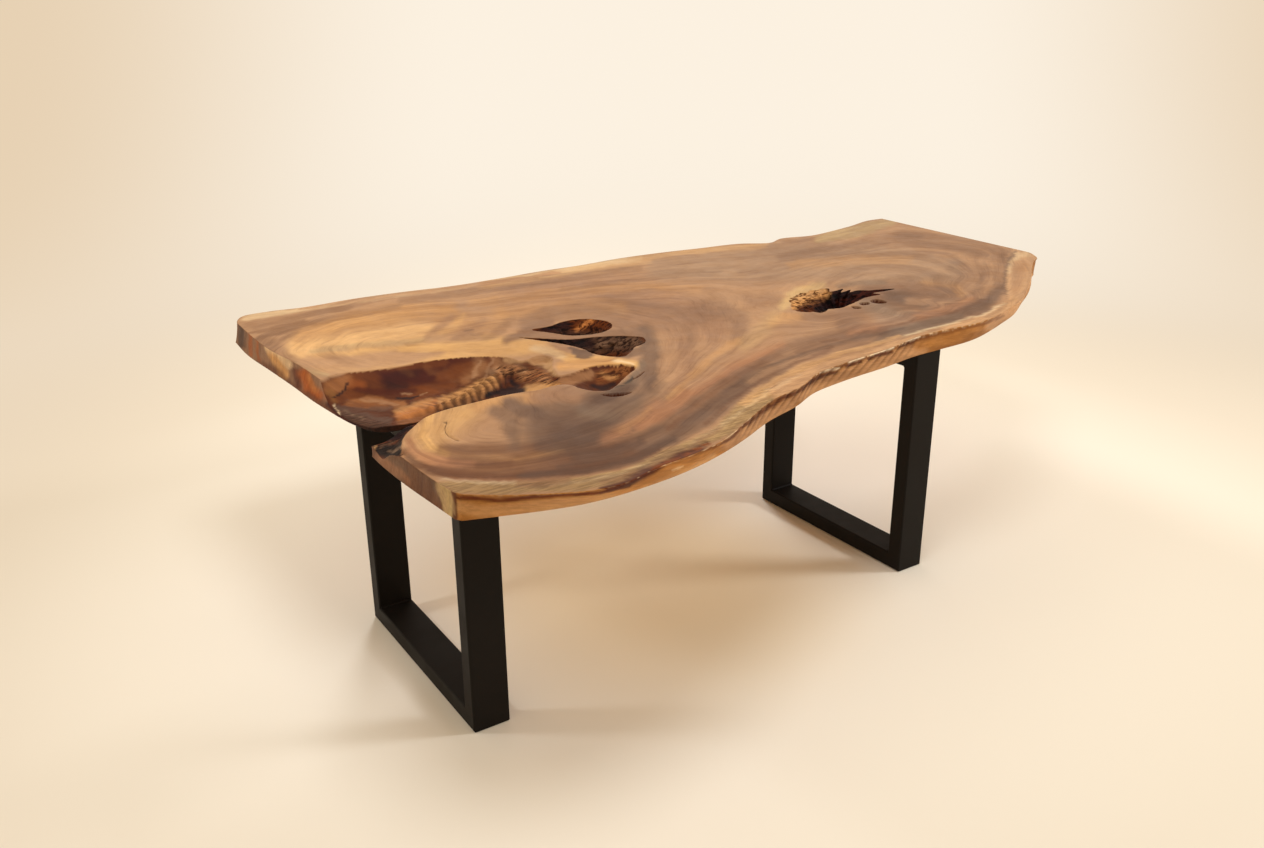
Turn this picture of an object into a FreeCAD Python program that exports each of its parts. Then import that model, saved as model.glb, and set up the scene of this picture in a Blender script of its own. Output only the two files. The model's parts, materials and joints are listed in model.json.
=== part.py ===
import FreeCAD, Part
import math
import os
import Sketcher
from FreeCAD import Placement, Rotation, Vector

# A live edge dining table.  One thick slab with two natural edges and two
# saw cuts rests on a pair of closed loops of welded rectangular steel tube.
# Bolts go up through the slotted top rails into threaded inserts in the slab.
#
# The frame: +X along the slab, from its broad forked end to its narrow end,
# +Y across it, +Z up.  The origin lies on the floor under the middle of the slab.

DIMENSIONS = [
    ("table_height", 780, "floor to the slab's top face"),
    ("slab_length", 2882, "over both saw cut ends"),
    ("slab_width", 1787, "over both live edges"),
    ("slab_thickness", 60, "top face to underside"),
    ("hollow_floor", 9, "wood left under the hollow in the forked end"),
    ("scoop_floor", 22, "wood left under the scoop beside the hollow"),
    ("crack_depth", 25, "depth of the short crack near the front edge"),
    ("void_taper", 0.3, "share by which a through hole narrows downwards"),
    ("scoop_taper", 0.45, "share by which the scoop and the crack narrow"),
    ("frame_spacing", 1474, "left frame to right frame, centre to centre"),
    ("frame_width", 670, "over both posts of one frame"),
    ("frames_shift_x", -497, "middle of the two frames, along the slab"),
    ("frames_shift_y", -156, "middle of the two frames, across the slab"),
    ("tube_width", 100, "broad side of the steel tube"),
    ("tube_depth", 50, "narrow side of the steel tube"),
    ("tube_wall", 3, "wall of the steel tube"),
    ("tube_corner", 5, "outer corner radius of the steel tube"),
    ("tube_inner_corner", 2, "inner corner radius of the steel tube"),
    ("weld_leg", 5, "leg of the fillet weld inside each frame corner"),
    ("bolt_diameter", 8, "thread of the mounting bolts"),
    ("bolt_engagement", 20, "length of thread inside the insert"),
    ("bolt_head_width", 13, "across the flats of the hexagon head"),
    ("bolt_head_height", 5.3, "height of the hexagon head"),
    ("bolt_pitch", 50, "between the two bolts of a pair, along the slab"),
    ("bolt_inset", 78, "outer face of the frame to the bolt's axis"),
    ("washer_diameter", 20, "outer diameter of the washers"),
    ("washer_thickness", 1.6, "thickness of the washers"),
    ("shank_clearance", 0.4, "gap around a bolt in its washer and its slot"),
    ("thread_clearance", 0.1, "gap around a bolt in its insert"),
    ("slot_travel", 10, "room for the slab to swell and shrink across the grain"),
    ("access_diameter", 24, "hole in the rail's lower wall, for the socket wrench"),
    ("insert_diameter", 12.5, "outer diameter of the threaded inserts"),
    ("insert_length", 20, "length of the threaded inserts"),
    ("insert_clearance", 0.1, "gap around an insert in the slab"),
    ("tip_clearance", 3, "room beyond the bolt's tip and the insert"),
    ("pad_diameter", 30, "floor pads"),
    ("pad_thickness", 2, "floor pads"),
    ("pad_pitch", 50, "between the two pads of a pair, along the slab"),
    ("pad_inset", 30, "outer face of the frame to the pad's centre"),
]

# Both live edges, from the forked end to the narrow end: the place along the
# slab, the place of the top ridge across it, and how far the underside is
# set back from the ridge towards the middle of the slab.
NEAR_EDGE = [
    (-1400, -752, 18), (-1327, -806, 29), (-1245, -853, 50), (-1150, -891, 66),
    (-1088, -893, 64), (-1013, -870, 44), (-879, -848, 40), (-808, -830, 40),
    (-724, -790, 29), (-650, -747, 17), (-520, -679, 11), (-394, -641, 16),
    (-292, -588, 12), (-151, -560, 14), (25, -536, 12), (182, -500, 2),
    (274, -494, 0), (443, -499, 18), (566, -473, 28), (650, -443, 29),
    (760, -398, 27), (922, -298, 17), (1038, -220, 5), (1143, -143, -3),
    (1271, -53, -6), (1337, -15, -6), (1353, 6, -4), (1382, 52, 0), (1389, 103, 0),
]
FAR_EDGE = [
    (-1422, 777, 6), (-1412, 812, 8), (-1391, 846, 12), (-1297, 861, 16),
    (-1204, 849, 18), (-1033, 862, 20), (-860, 857, 16), (-686, 838, 12),
    (-490, 845, 14), (-320, 859, 18), (-151, 860, 20), (36, 876, 22),
    (217, 869, 18), (394, 848, 14), (577, 825, 12), (689, 771, 8),
    (774, 809, 16), (916, 785, 14), (1082, 813, 16), (1197, 842, 16),
    (1368, 893, 14), (1438, 890, 12),
]
# The chainsaw cut across the forked end wanders: the place across the slab,
# and the places along it of the cut's top and bottom edges.
FORKED_END = [
    (-752, -1400, -1402), (-669, -1409, -1408), (-518, -1416, -1419),
    (-354, -1410, -1421), (-100, -1398, -1400), (100, -1390, -1409),
    (265, -1398, -1417), (436, -1421, -1428), (621, -1425, -1440),
    (777, -1422, -1434),
]

# The hollow between the two lobes of the forked end: its rim in the top face
# and the foot of its banks, from outside the end, around the inner tip and back.
HOLLOW_FAR_RIM = [
    (-1520, 84), (-1389, 86), (-1257, 92), (-1174, 90), (-1089, 85), (-1022, 71),
    (-934, 33), (-880, -40), (-820, -80), (-819, -126), (-858, -220),
]
HOLLOW_FAR_FOOT = [
    (-1520, -29), (-1389, -29), (-1257, -36), (-1174, -46), (-1114, -61), (-1069, -86),
    (-1034, -106), (-1014, -131), (-999, -150), (-994, -170), (-999, -191),
]
HOLLOW_NEAR_RIM = [
    (-858, -220), (-894, -284), (-987, -293), (-1090, -278), (-1207, -301),
    (-1291, -317), (-1371, -409), (-1416, -518), (-1520, -700),
]
HOLLOW_NEAR_FOOT = [
    (-999, -191), (-1019, -229), (-1084, -244), (-1134, -251), (-1207, -259),
    (-1264, -276), (-1344, -311), (-1389, -331), (-1520, -341),
]
# How far a bank has come from its rim towards its foot, by share of the depth.
HOLLOW_BANK = [(0.0, 0.0), (0.6, 0.4), (1.0, 1.0)]
# The cleft that parts the near lobe from the floor of the hollow.
CLEFT_FAR = [
    (-1520, -139), (-1386, -155), (-1370, -186), (-1344, -209), (-1288, -215),
    (-1224, -223), (-1215, -250),
]
CLEFT_NEAR = [(-1215, -250), (-1264, -276), (-1344, -311), (-1389, -331), (-1520, -341)]

# Closed loops in the top face, counted around each hole.
SCOOP = [
    (-875, -235), (-775, -184), (-703, -169), (-637, -193), (-635, -249),
    (-689, -306), (-759, -356), (-824, -387), (-875, -330),
]
CRACK = [(-834, -411), (-809, -441), (-759, -446), (-795, -425)]
THROUGH_HOLES = {
    "far_void": [
        (-709, 199), (-649, 214), (-599, 229), (-549, 229), (-499, 204),
        (-489, 144), (-504, 104), (-554, 69), (-604, 59), (-684, 139),
    ],
    "middle_void": [
        (-774, 154), (-749, 144), (-724, 99), (-684, 49), (-639, 19), (-579, 4),
        (-514, -31), (-494, -56), (-519, -101), (-619, -161), (-664, -166),
        (-684, -136), (-679, -26), (-704, 19),
    ],
    "right_void": [
        (81, -86), (101, -36), (151, 24), (191, 44), (261, 69), (331, 79),
        (381, 54), (421, -11), (531, -61), (386, -72), (281, -111), (171, -131),
        (126, -146),
    ],
}
CUT_OVERSHOOT = 2.0  # how far a cutting solid reaches past the slab's faces

UNDERSIDE = "(dimensions.table_height - dimensions.slab_thickness)"
RAIL_INSIDE = "(%s - dimensions.tube_wall)" % UNDERSIDE
FRAME_HEIGHT = "(%s - dimensions.pad_thickness)" % UNDERSIDE
NEAR_FACE = "(dimensions.frames_shift_y - dimensions.frame_width / 2)"
FAR_FACE = "(dimensions.frames_shift_y + dimensions.frame_width / 2)"
FRAME_X = {
    "left": "(dimensions.frames_shift_x - dimensions.frame_spacing / 2)",
    "right": "(dimensions.frames_shift_x + dimensions.frame_spacing / 2)",
}

doc = FreeCAD.newDocument("live_edge_table")
sheet = doc.addObject("Spreadsheet::Sheet", "dimensions")
for row, (alias, number, meaning) in enumerate(DIMENSIONS, start=1):
    sheet.set("A%d" % row, alias)
    sheet.set("B%d" % row, str(number))
    sheet.set("C%d" % row, meaning)
    sheet.setAlias("B%d" % row, alias)
doc.recompute()


def value(expression):
    """The number that an expression on the sheet gives."""
    return float(sheet.evalExpression(expression))


def size(alias):
    """One plain number of the sheet."""
    return value("dimensions." + alias)


def place(item, x, y, z, rotation=None):
    """Place an object by three expressions, after an optional rotation."""
    if rotation is not None:
        item.Placement = Placement(Vector(), rotation)
    item.setExpression("Placement.Base.x", x)
    item.setExpression("Placement.Base.y", y)
    item.setExpression("Placement.Base.z", z)


# ---------------------------------------------------------------- the slab

TOP = size("table_height")
THICKNESS = size("slab_thickness")
BOTTOM = TOP - THICKNESS

drawn_x = [x for x, _, _ in NEAR_EDGE + FAR_EDGE] + [low for _, _, low in FORKED_END]
drawn_y = [y for _, y, _ in NEAR_EDGE + FAR_EDGE]
stretch_x = size("slab_length") / (max(drawn_x) - min(drawn_x))
stretch_y = size("slab_width") / (max(drawn_y) - min(drawn_y))


def at(x, y, z):
    """A drawn point of the slab's plan, stretched to the slab's size."""
    return Vector(x * stretch_x, y * stretch_y, z)


def curve(points, z, closed=False):
    """A smooth edge through points of the plan, at one height."""
    spline = Part.BSplineCurve()
    spline.interpolate([at(x, y, z) for x, y in points], PeriodicFlag=closed)
    return spline.toShape()


def slab_outline(z, below):
    """The slab's outline: below is 0 for the top face and 1 for the underside."""
    near = [(x, y + below * undercut) for x, y, undercut in NEAR_EDGE]
    far = [(x, y - below * undercut) for x, y, undercut in FAR_EDGE]
    end = [(low if below else high, y) for y, high, low in FORKED_END]
    near[0] = end[0]
    far[0] = end[-1]
    narrow_end = Part.makeLine(at(*near[-1], z), at(*far[-1], z))
    return Part.Wire([curve(near, z), narrow_end, curve(far[::-1], z), curve(end[::-1], z)])


def between(start, finish, share):
    """The points that lie a share of the way from one row of points to another."""
    return [
        (x0 + (x1 - x0) * share, y0 + (y1 - y0) * share)
        for (x0, y0), (x1, y1) in zip(start, finish)
    ]


def hollow_section(share_of_depth, share_of_bank, depth):
    """One level of the hollow between the lobes."""
    far = between(HOLLOW_FAR_RIM, HOLLOW_FAR_FOOT, share_of_bank)
    near = between(HOLLOW_NEAR_RIM, HOLLOW_NEAR_FOOT, share_of_bank)
    z = TOP + CUT_OVERSHOOT - share_of_depth * (depth + CUT_OVERSHOOT)
    mouth = Part.makeLine(at(*near[-1], z), at(*far[0], z))
    return Part.Wire([curve(far, z), curve(near, z), mouth])


def hollow_shape():
    depth = THICKNESS - size("hollow_floor")
    sections = [hollow_section(down, bank, depth) for down, bank in HOLLOW_BANK]
    return Part.makeLoft(sections, True, True)


def cleft_shape():
    low = BOTTOM - CUT_OVERSHOOT
    mouth = Part.makeLine(at(*CLEFT_NEAR[-1], low), at(*CLEFT_FAR[0], low))
    loop = Part.Wire([curve(CLEFT_FAR, low), curve(CLEFT_NEAR, low), mouth])
    height = size("hollow_floor") + 2 * CUT_OVERSHOOT
    return Part.Face(loop).extrude(Vector(0, 0, height))


def tapered_cut(loop, taper, depth):
    """A cutting solid that narrows towards the middle of its loop as it goes down."""
    middle_x = sum(x for x, _ in loop) / len(loop)
    middle_y = sum(y for _, y in loop) / len(loop)
    sections = []
    for z in (TOP + CUT_OVERSHOOT, TOP - depth):
        scale = 1 - taper * (TOP - z) / depth
        points = [
            (middle_x + (x - middle_x) * scale, middle_y + (y - middle_y) * scale)
            for x, y in loop
        ]
        sections.append(Part.Wire([curve(points, z, closed=True)]))
    return Part.makeLoft(sections, True, True)


def feature(name, shape):
    item = doc.addObject("Part::Feature", name)
    item.Shape = shape
    return item


slab_blank = feature(
    "slab_blank", Part.makeLoft([slab_outline(BOTTOM, 1), slab_outline(TOP, 0)], True, True)
)
natural_cuts = [
    feature("hollow", hollow_shape()),
    feature("cleft", cleft_shape()),
    feature("scoop", tapered_cut(SCOOP, size("scoop_taper"), THICKNESS - size("scoop_floor"))),
    feature("crack", tapered_cut(CRACK, size("scoop_taper"), size("crack_depth"))),
]
for name, loop in THROUGH_HOLES.items():
    natural_cuts.append(
        feature(name, tapered_cut(loop, size("void_taper"), THICKNESS + CUT_OVERSHOOT))
    )


# ------------------------------------------------------ places of the bolts


def pairs(side, inset, pitch):
    """The four places, as expressions, that pairs of bolts or pads take on a frame."""
    for face, inwards in ((NEAR_FACE, "+"), (FAR_FACE, "-")):
        y = "%s %s dimensions.%s" % (face, inwards, inset)
        for sign in ("-", "+"):
            yield "%s %s dimensions.%s / 2" % (FRAME_X[side], sign, pitch), y


def cylinder(name, radius, height):
    item = doc.addObject("Part::Cylinder", name)
    item.setExpression("Radius", radius)
    item.setExpression("Height", height)
    return item


def group(name, items):
    """One sub-part that is a group of separate solids."""
    item = doc.addObject("Part::Compound", name)
    item.Links = items
    return item


INSERT_HOLE_DEPTH = (
    "max(dimensions.insert_length; dimensions.bolt_engagement) + dimensions.tip_clearance"
)
insert_holes = []
for side in FRAME_X:
    for x, y in pairs(side, "bolt_inset", "bolt_pitch"):
        hole = cylinder(
            "%s_insert_hole" % side,
            "dimensions.insert_diameter / 2 + dimensions.insert_clearance",
            INSERT_HOLE_DEPTH,
        )
        place(hole, x, y, UNDERSIDE)
        insert_holes.append(hole)

slab_cuts = doc.addObject("Part::MultiFuse", "slab_cuts")
slab_cuts.Shapes = natural_cuts + insert_holes
live_edge_slab = doc.addObject("Part::Cut", "live_edge_slab")
live_edge_slab.Base = slab_blank
live_edge_slab.Tool = slab_cuts
sub_parts = [live_edge_slab]


# ---------------------------------------------------------- the steel tubes


def origin_plane(body, role):
    for item in body.Origin.OriginFeatures:
        if item.Role == role:
            return item
    raise ValueError("no plane called " + role)


def new_sketch(body, name, role):
    sketch = body.newObject("Sketcher::SketchObject", name)
    sketch.AttachmentSupport = [(origin_plane(body, role), "")]
    sketch.MapMode = "FlatFace"
    return sketch


def dimension(sketch, name, expression, kind, *geometry):
    """A named dimension of a sketch, bound to the sheet."""
    index = sketch.addConstraint(Sketcher.Constraint(kind, *geometry, value(expression)))
    sketch.renameConstraint(index, name)
    sketch.setExpression("Constraints." + name, expression)


def add_arc(sketch, centre_x, centre_y, radius, first_quarter, quarters=1):
    """A counter-clockwise arc that starts a number of quarter turns from +X."""
    circle = Part.Circle(Vector(centre_x, centre_y, 0), Vector(0, 0, 1), radius)
    start = first_quarter * math.pi / 2
    return sketch.addGeometry(Part.ArcOfCircle(circle, start, start + quarters * math.pi / 2))


def add_line(sketch, x0, y0, x1, y1):
    return sketch.addGeometry(Part.LineSegment(Vector(x0, y0, 0), Vector(x1, y1, 0)))


def rounded_rectangle(sketch, name, width, depth, radius):
    """A rectangle with rounded corners around the sketch's origin."""
    half_x = value(width) / 2
    half_y = value(depth) / 2
    r = value(radius)
    lines = [
        add_line(sketch, -half_x + r, -half_y, half_x - r, -half_y),
        add_line(sketch, half_x, -half_y + r, half_x, half_y - r),
        add_line(sketch, half_x - r, half_y, -half_x + r, half_y),
        add_line(sketch, -half_x, half_y - r, -half_x, -half_y + r),
    ]
    arcs = [
        add_arc(sketch, half_x - r, -half_y + r, r, 3),
        add_arc(sketch, half_x - r, half_y - r, r, 0),
        add_arc(sketch, -half_x + r, half_y - r, r, 1),
        add_arc(sketch, -half_x + r, -half_y + r, r, 2),
    ]
    for index, arc in enumerate(arcs):
        following = lines[(index + 1) % 4]
        sketch.addConstraint(Sketcher.Constraint("Tangent", lines[index], 2, arc, 1))
        sketch.addConstraint(Sketcher.Constraint("Tangent", arc, 2, following, 1))
    for arc in arcs[1:]:
        sketch.addConstraint(Sketcher.Constraint("Equal", arcs[0], arc))
    sketch.addConstraint(Sketcher.Constraint("Horizontal", lines[2]))
    sketch.addConstraint(Sketcher.Constraint("Vertical", lines[3]))
    sketch.addConstraint(Sketcher.Constraint("Symmetric", lines[0], 1, lines[0], 2, -2))
    sketch.addConstraint(Sketcher.Constraint("Symmetric", lines[1], 1, lines[1], 2, -1))
    dimension(sketch, name + "_radius", radius, "Radius", arcs[0])
    dimension(sketch, name + "_width", width, "DistanceX", lines[3], 2, lines[1], 1)
    dimension(sketch, name + "_depth", depth, "DistanceY", lines[0], 2, lines[2], 1)


def triangle(sketch, name, corners):
    """A closed triangle whose corners are pairs of expressions."""
    points = [(value(x), value(y)) for x, y in corners]
    lines = [
        add_line(sketch, *points[index], *points[(index + 1) % 3]) for index in range(3)
    ]
    for index, line in enumerate(lines):
        following = lines[(index + 1) % 3]
        sketch.addConstraint(Sketcher.Constraint("Coincident", line, 2, following, 1))
        x, y = corners[index]
        label = "%s_%d" % (name, index)
        dimension(sketch, label + "_x", x, "DistanceX", -1, 1, line, 1)
        dimension(sketch, label + "_y", y, "DistanceY", -1, 1, line, 1)


def pocket(body, name, sketch, through_both=False, reverse=False):
    item = body.newObject("PartDesign::Pocket", name)
    item.Profile = sketch
    item.Type = "ThroughAll"
    item.Midplane = through_both
    item.Reversed = reverse
    return item


def mitred_tube(name, length):
    """A tube along its own +Z, outer side at -Y, both ends mitred at 45 degrees."""
    body = doc.addObject("PartDesign::Body", name)
    section = new_sketch(body, name + "_section", "XY_Plane")
    rounded_rectangle(
        section, "outer", "dimensions.tube_width", "dimensions.tube_depth", "dimensions.tube_corner"
    )
    rounded_rectangle(
        section,
        "inner",
        "dimensions.tube_width - 2 * dimensions.tube_wall",
        "dimensions.tube_depth - 2 * dimensions.tube_wall",
        "dimensions.tube_inner_corner",
    )
    pad = body.newObject("PartDesign::Pad", name + "_pad")
    pad.Profile = section
    pad.setExpression("Length", length)
    outer = "-dimensions.tube_depth / 2"
    inner = "dimensions.tube_depth / 2"
    mitres = new_sketch(body, name + "_mitres", "YZ_Plane")
    triangle(mitres, "start", [(outer, "0"), (inner, "0"), (inner, "dimensions.tube_depth")])
    triangle(
        mitres,
        "finish",
        [(outer, length), (inner, "%s - dimensions.tube_depth" % length), (inner, length)],
    )
    pocket(body, name + "_mitre_cut", mitres, through_both=True)
    return body


BOLT_ROWS = ("dimensions.bolt_inset", "dimensions.frame_width - dimensions.bolt_inset")


def drill_rail(body):
    """Slots for the bolts in the outer wall, access holes in the inner wall."""
    slots = new_sketch(body, body.Name + "_slots", "XZ_Plane")
    access = new_sketch(body, body.Name + "_access", "XZ_Plane")
    half_pitch = "dimensions.bolt_pitch / 2"
    for row, along in enumerate(BOLT_ROWS):
        for column, x in enumerate(("-" + half_pitch, half_pitch)):
            label = "bolt_%d_%d" % (row, column)
            circle = access.addGeometry(
                Part.Circle(
                    Vector(value(x), value(along), 0), Vector(0, 0, 1), size("access_diameter") / 2
                )
            )
            dimension(access, label + "_radius", "dimensions.access_diameter / 2", "Radius", circle)
            dimension(access, label + "_x", x, "DistanceX", -1, 1, circle, 3)
            dimension(access, label + "_y", along, "DistanceY", -1, 1, circle, 3)
            slot(slots, label, x, along)
    pocket(body, body.Name + "_slot_cut", slots, reverse=True)
    pocket(body, body.Name + "_access_cut", access)


def slot(sketch, name, x, along):
    """A slot with round ends, long across the slab, for one bolt."""
    radius = "dimensions.bolt_diameter / 2 + dimensions.shank_clearance"
    r = value(radius)
    centre = value(x)
    low = value(along) - size("slot_travel") / 2
    high = value(along) + size("slot_travel") / 2
    top = add_arc(sketch, centre, high, r, 0, 2)
    left = add_line(sketch, centre - r, high, centre - r, low)
    bottom = add_arc(sketch, centre, low, r, 2, 2)
    right = add_line(sketch, centre + r, low, centre + r, high)
    sides = [top, left, bottom, right]
    for index, side in enumerate(sides):
        following = sides[(index + 1) % 4]
        sketch.addConstraint(Sketcher.Constraint("Tangent", side, 2, following, 1))
    sketch.addConstraint(Sketcher.Constraint("Equal", top, bottom))
    sketch.addConstraint(Sketcher.Constraint("Vertical", left))
    dimension(sketch, name + "_radius", radius, "Radius", top)
    dimension(sketch, name + "_x", x, "DistanceX", -1, 1, bottom, 3)
    start = "%s - dimensions.slot_travel / 2" % along
    dimension(sketch, name + "_start", start, "DistanceY", -1, 1, bottom, 3)
    dimension(sketch, name + "_travel", "dimensions.slot_travel", "DistanceY", bottom, 3, top, 3)


HALF_DEPTH = "dimensions.tube_depth / 2"
for side, frame_x in FRAME_X.items():
    near_post = mitred_tube(side + "_near_post", FRAME_HEIGHT)
    place(near_post, frame_x, "%s + %s" % (NEAR_FACE, HALF_DEPTH), "dimensions.pad_thickness")
    far_post = mitred_tube(side + "_far_post", FRAME_HEIGHT)
    half_turn = Rotation(Vector(0, 0, 1), 180)
    place(
        far_post, frame_x, "%s - %s" % (FAR_FACE, HALF_DEPTH), "dimensions.pad_thickness", half_turn
    )
    base_rail = mitred_tube(side + "_base_rail", "dimensions.frame_width")
    lying = Rotation(Vector(1, 0, 0), 90)
    place(base_rail, frame_x, FAR_FACE, "dimensions.pad_thickness + " + HALF_DEPTH, lying)
    top_rail = mitred_tube(side + "_top_rail", "dimensions.frame_width")
    drill_rail(top_rail)
    hanging = Rotation(Vector(1, 0, 0), -90)
    place(top_rail, frame_x, NEAR_FACE, "%s - %s" % (UNDERSIDE, HALF_DEPTH), hanging)
    sub_parts += [near_post, far_post, base_rail, top_rail]


# ------------------------------------------------- welds, fasteners and pads


def frame_welds(side):
    """A quarter round bead across the tube in each inner corner of a frame."""
    low = "dimensions.pad_thickness + dimensions.tube_depth"
    high = UNDERSIDE + " - dimensions.tube_depth"
    near = NEAR_FACE + " + dimensions.tube_depth"
    far = FAR_FACE + " - dimensions.tube_depth"
    beads = []
    across = Rotation(Vector(1, 1, 1), 120)
    for turn, (y, z) in enumerate(((near, low), (far, low), (far, high), (near, high))):
        bead = cylinder(
            side + "_bead", "dimensions.weld_leg", "dimensions.tube_width - 2 * dimensions.tube_corner"
        )
        bead.Angle = 90
        quarter_turns = Rotation(Vector(1, 0, 0), 90 * turn)
        start = "%s - dimensions.tube_width / 2 + dimensions.tube_corner" % FRAME_X[side]
        place(bead, start, y, z, quarter_turns.multiply(across))
        beads.append(bead)
    return group(side + "_frame_welds", beads)


def ring(name, outer_radius, bore_radius, height, x, y, z):
    """A flat ring or a sleeve that stands on the height z."""
    disc = cylinder(name + "_disc", outer_radius, height)
    bore = cylinder(name + "_bore", bore_radius, height)
    for item in (disc, bore):
        place(item, x, y, z)
    item = doc.addObject("Part::Cut", name)
    item.Base = disc
    item.Tool = bore
    return item


def bolt(name, x, y):
    """A hexagon head bolt, its head against the washer under the rail's upper wall."""
    seat = "%s - dimensions.washer_thickness" % RAIL_INSIDE
    reach = "dimensions.washer_thickness + dimensions.tube_wall + dimensions.bolt_engagement"
    shank = cylinder(name + "_shank", "dimensions.bolt_diameter / 2", reach)
    place(shank, x, y, seat)
    head = doc.addObject("Part::Prism", name + "_head")
    head.Polygon = 6
    head.setExpression("Circumradius", "dimensions.bolt_head_width / 2 / cos(30)")
    head.setExpression("Height", "dimensions.bolt_head_height")
    place(head, x, y, "%s - dimensions.bolt_head_height" % seat)
    item = doc.addObject("Part::Fuse", name)
    item.Base = head
    item.Tool = shank
    return item


for side in FRAME_X:
    bolts = []
    washers = []
    inserts = []
    for x, y in pairs(side, "bolt_inset", "bolt_pitch"):
        bolts.append(bolt(side + "_bolt", x, y))
        washers.append(
            ring(
                side + "_washer",
                "dimensions.washer_diameter / 2",
                "dimensions.bolt_diameter / 2 + dimensions.shank_clearance",
                "dimensions.washer_thickness",
                x,
                y,
                "%s - dimensions.washer_thickness" % RAIL_INSIDE,
            )
        )
        inserts.append(
            ring(
                side + "_insert",
                "dimensions.insert_diameter / 2",
                "dimensions.bolt_diameter / 2 + dimensions.thread_clearance",
                "dimensions.insert_length",
                x,
                y,
                UNDERSIDE,
            )
        )
    pads = []
    for x, y in pairs(side, "pad_inset", "pad_pitch"):
        pad = cylinder(side + "_pad", "dimensions.pad_diameter / 2", "dimensions.pad_thickness")
        place(pad, x, y, "0")
        pads.append(pad)
    sub_parts += [
        frame_welds(side),
        group(side + "_mounting_bolts", bolts),
        group(side + "_washers", washers),
        group(side + "_threaded_inserts", inserts),
        group(side + "_floor_pads", pads),
    ]

for item in sub_parts:
    item.Label = item.Name
doc.recompute()

for item in doc.Objects:
    if "Invalid" in item.State or "Error" in item.State:
        raise RuntimeError("%s did not recompute: %s" % (item.Name, item.State))
for item in sub_parts:
    if item.Shape.isNull() or not item.Shape.isValid():
        raise RuntimeError("%s has no valid shape" % item.Name)

os.makedirs("parts", exist_ok=True)
for item in sub_parts:
    item.Shape.exportStep("parts/%s.step" % item.Label)
    box = item.Shape.BoundBox
    print(
        "%-24s %2d solids, volume %12.1f, x %.1f..%.1f, y %.1f..%.1f, z %.1f..%.1f"
        % (item.Label, len(item.Shape.Solids), item.Shape.Volume,
           box.XMin, box.XMax, box.YMin, box.YMax, box.ZMin, box.ZMax)
    )
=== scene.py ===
import json
import math

import bpy
import numpy as np
from mathutils import Matrix, Vector, geometry, kdtree, noise


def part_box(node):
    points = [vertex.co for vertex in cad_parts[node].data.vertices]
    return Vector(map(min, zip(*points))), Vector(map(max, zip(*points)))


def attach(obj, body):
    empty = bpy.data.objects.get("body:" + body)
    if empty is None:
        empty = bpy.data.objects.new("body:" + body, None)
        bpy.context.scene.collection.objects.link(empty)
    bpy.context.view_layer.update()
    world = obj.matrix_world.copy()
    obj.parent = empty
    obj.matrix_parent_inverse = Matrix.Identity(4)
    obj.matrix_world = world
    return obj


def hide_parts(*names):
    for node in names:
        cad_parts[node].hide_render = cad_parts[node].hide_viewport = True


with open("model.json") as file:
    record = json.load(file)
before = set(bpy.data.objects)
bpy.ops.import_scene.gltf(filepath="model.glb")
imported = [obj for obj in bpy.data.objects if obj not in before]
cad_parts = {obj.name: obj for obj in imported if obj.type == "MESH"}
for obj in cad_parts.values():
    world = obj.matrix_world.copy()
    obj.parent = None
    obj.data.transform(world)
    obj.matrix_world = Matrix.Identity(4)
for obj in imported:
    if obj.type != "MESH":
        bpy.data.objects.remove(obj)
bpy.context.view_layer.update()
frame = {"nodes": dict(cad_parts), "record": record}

MM = 0.001

# ------------------------------------------------------------------ camera
CAMERA_PLACE = (-2.1967, -2.6017, 1.6860)
CAMERA_HEADING = math.radians(33.27)  # from +Y towards +X
CAMERA_DIP = math.radians(20.96)
CAMERA_ROLL = math.radians(-0.38)
FOCAL_PIXELS = 1098.7
IMAGE_WIDTH = 1264
IMAGE_HEIGHT = 848
SENSOR_MM = 36.0


def new_object(name, data):
    item = bpy.data.objects.new(name, data)
    bpy.context.scene.collection.objects.link(item)
    return item


def camera_axes():
    """The directions right, up and ahead of the camera."""
    level = math.cos(CAMERA_DIP)
    ahead = Vector(
        (math.sin(CAMERA_HEADING) * level, math.cos(CAMERA_HEADING) * level, -math.sin(CAMERA_DIP))
    )
    level_right = Vector((math.cos(CAMERA_HEADING), -math.sin(CAMERA_HEADING), 0.0))
    level_up = level_right.cross(ahead)
    right = level_right * math.cos(CAMERA_ROLL) + level_up * math.sin(CAMERA_ROLL)
    up = level_up * math.cos(CAMERA_ROLL) - level_right * math.sin(CAMERA_ROLL)
    return right, up, ahead


def add_camera():
    right, up, ahead = camera_axes()
    camera = new_object("camera", bpy.data.cameras.new("camera"))
    camera.data.sensor_width = SENSOR_MM
    camera.data.lens = FOCAL_PIXELS / IMAGE_WIDTH * SENSOR_MM
    turn = Matrix((right, up, -ahead)).transposed().to_4x4()
    camera.matrix_world = Matrix.Translation(CAMERA_PLACE) @ turn
    bpy.context.scene.camera = camera


def to_picture(points):
    """The places in the photograph, in pixels, of points given in mm."""
    right, up, ahead = (np.array(axis) for axis in camera_axes())
    away = points * MM - np.array(CAMERA_PLACE)
    depth = away @ ahead
    across = IMAGE_WIDTH / 2 + FOCAL_PIXELS * (away @ right) / depth
    down = IMAGE_HEIGHT / 2 - FOCAL_PIXELS * (away @ up) / depth
    return np.column_stack([across, down])


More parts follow.
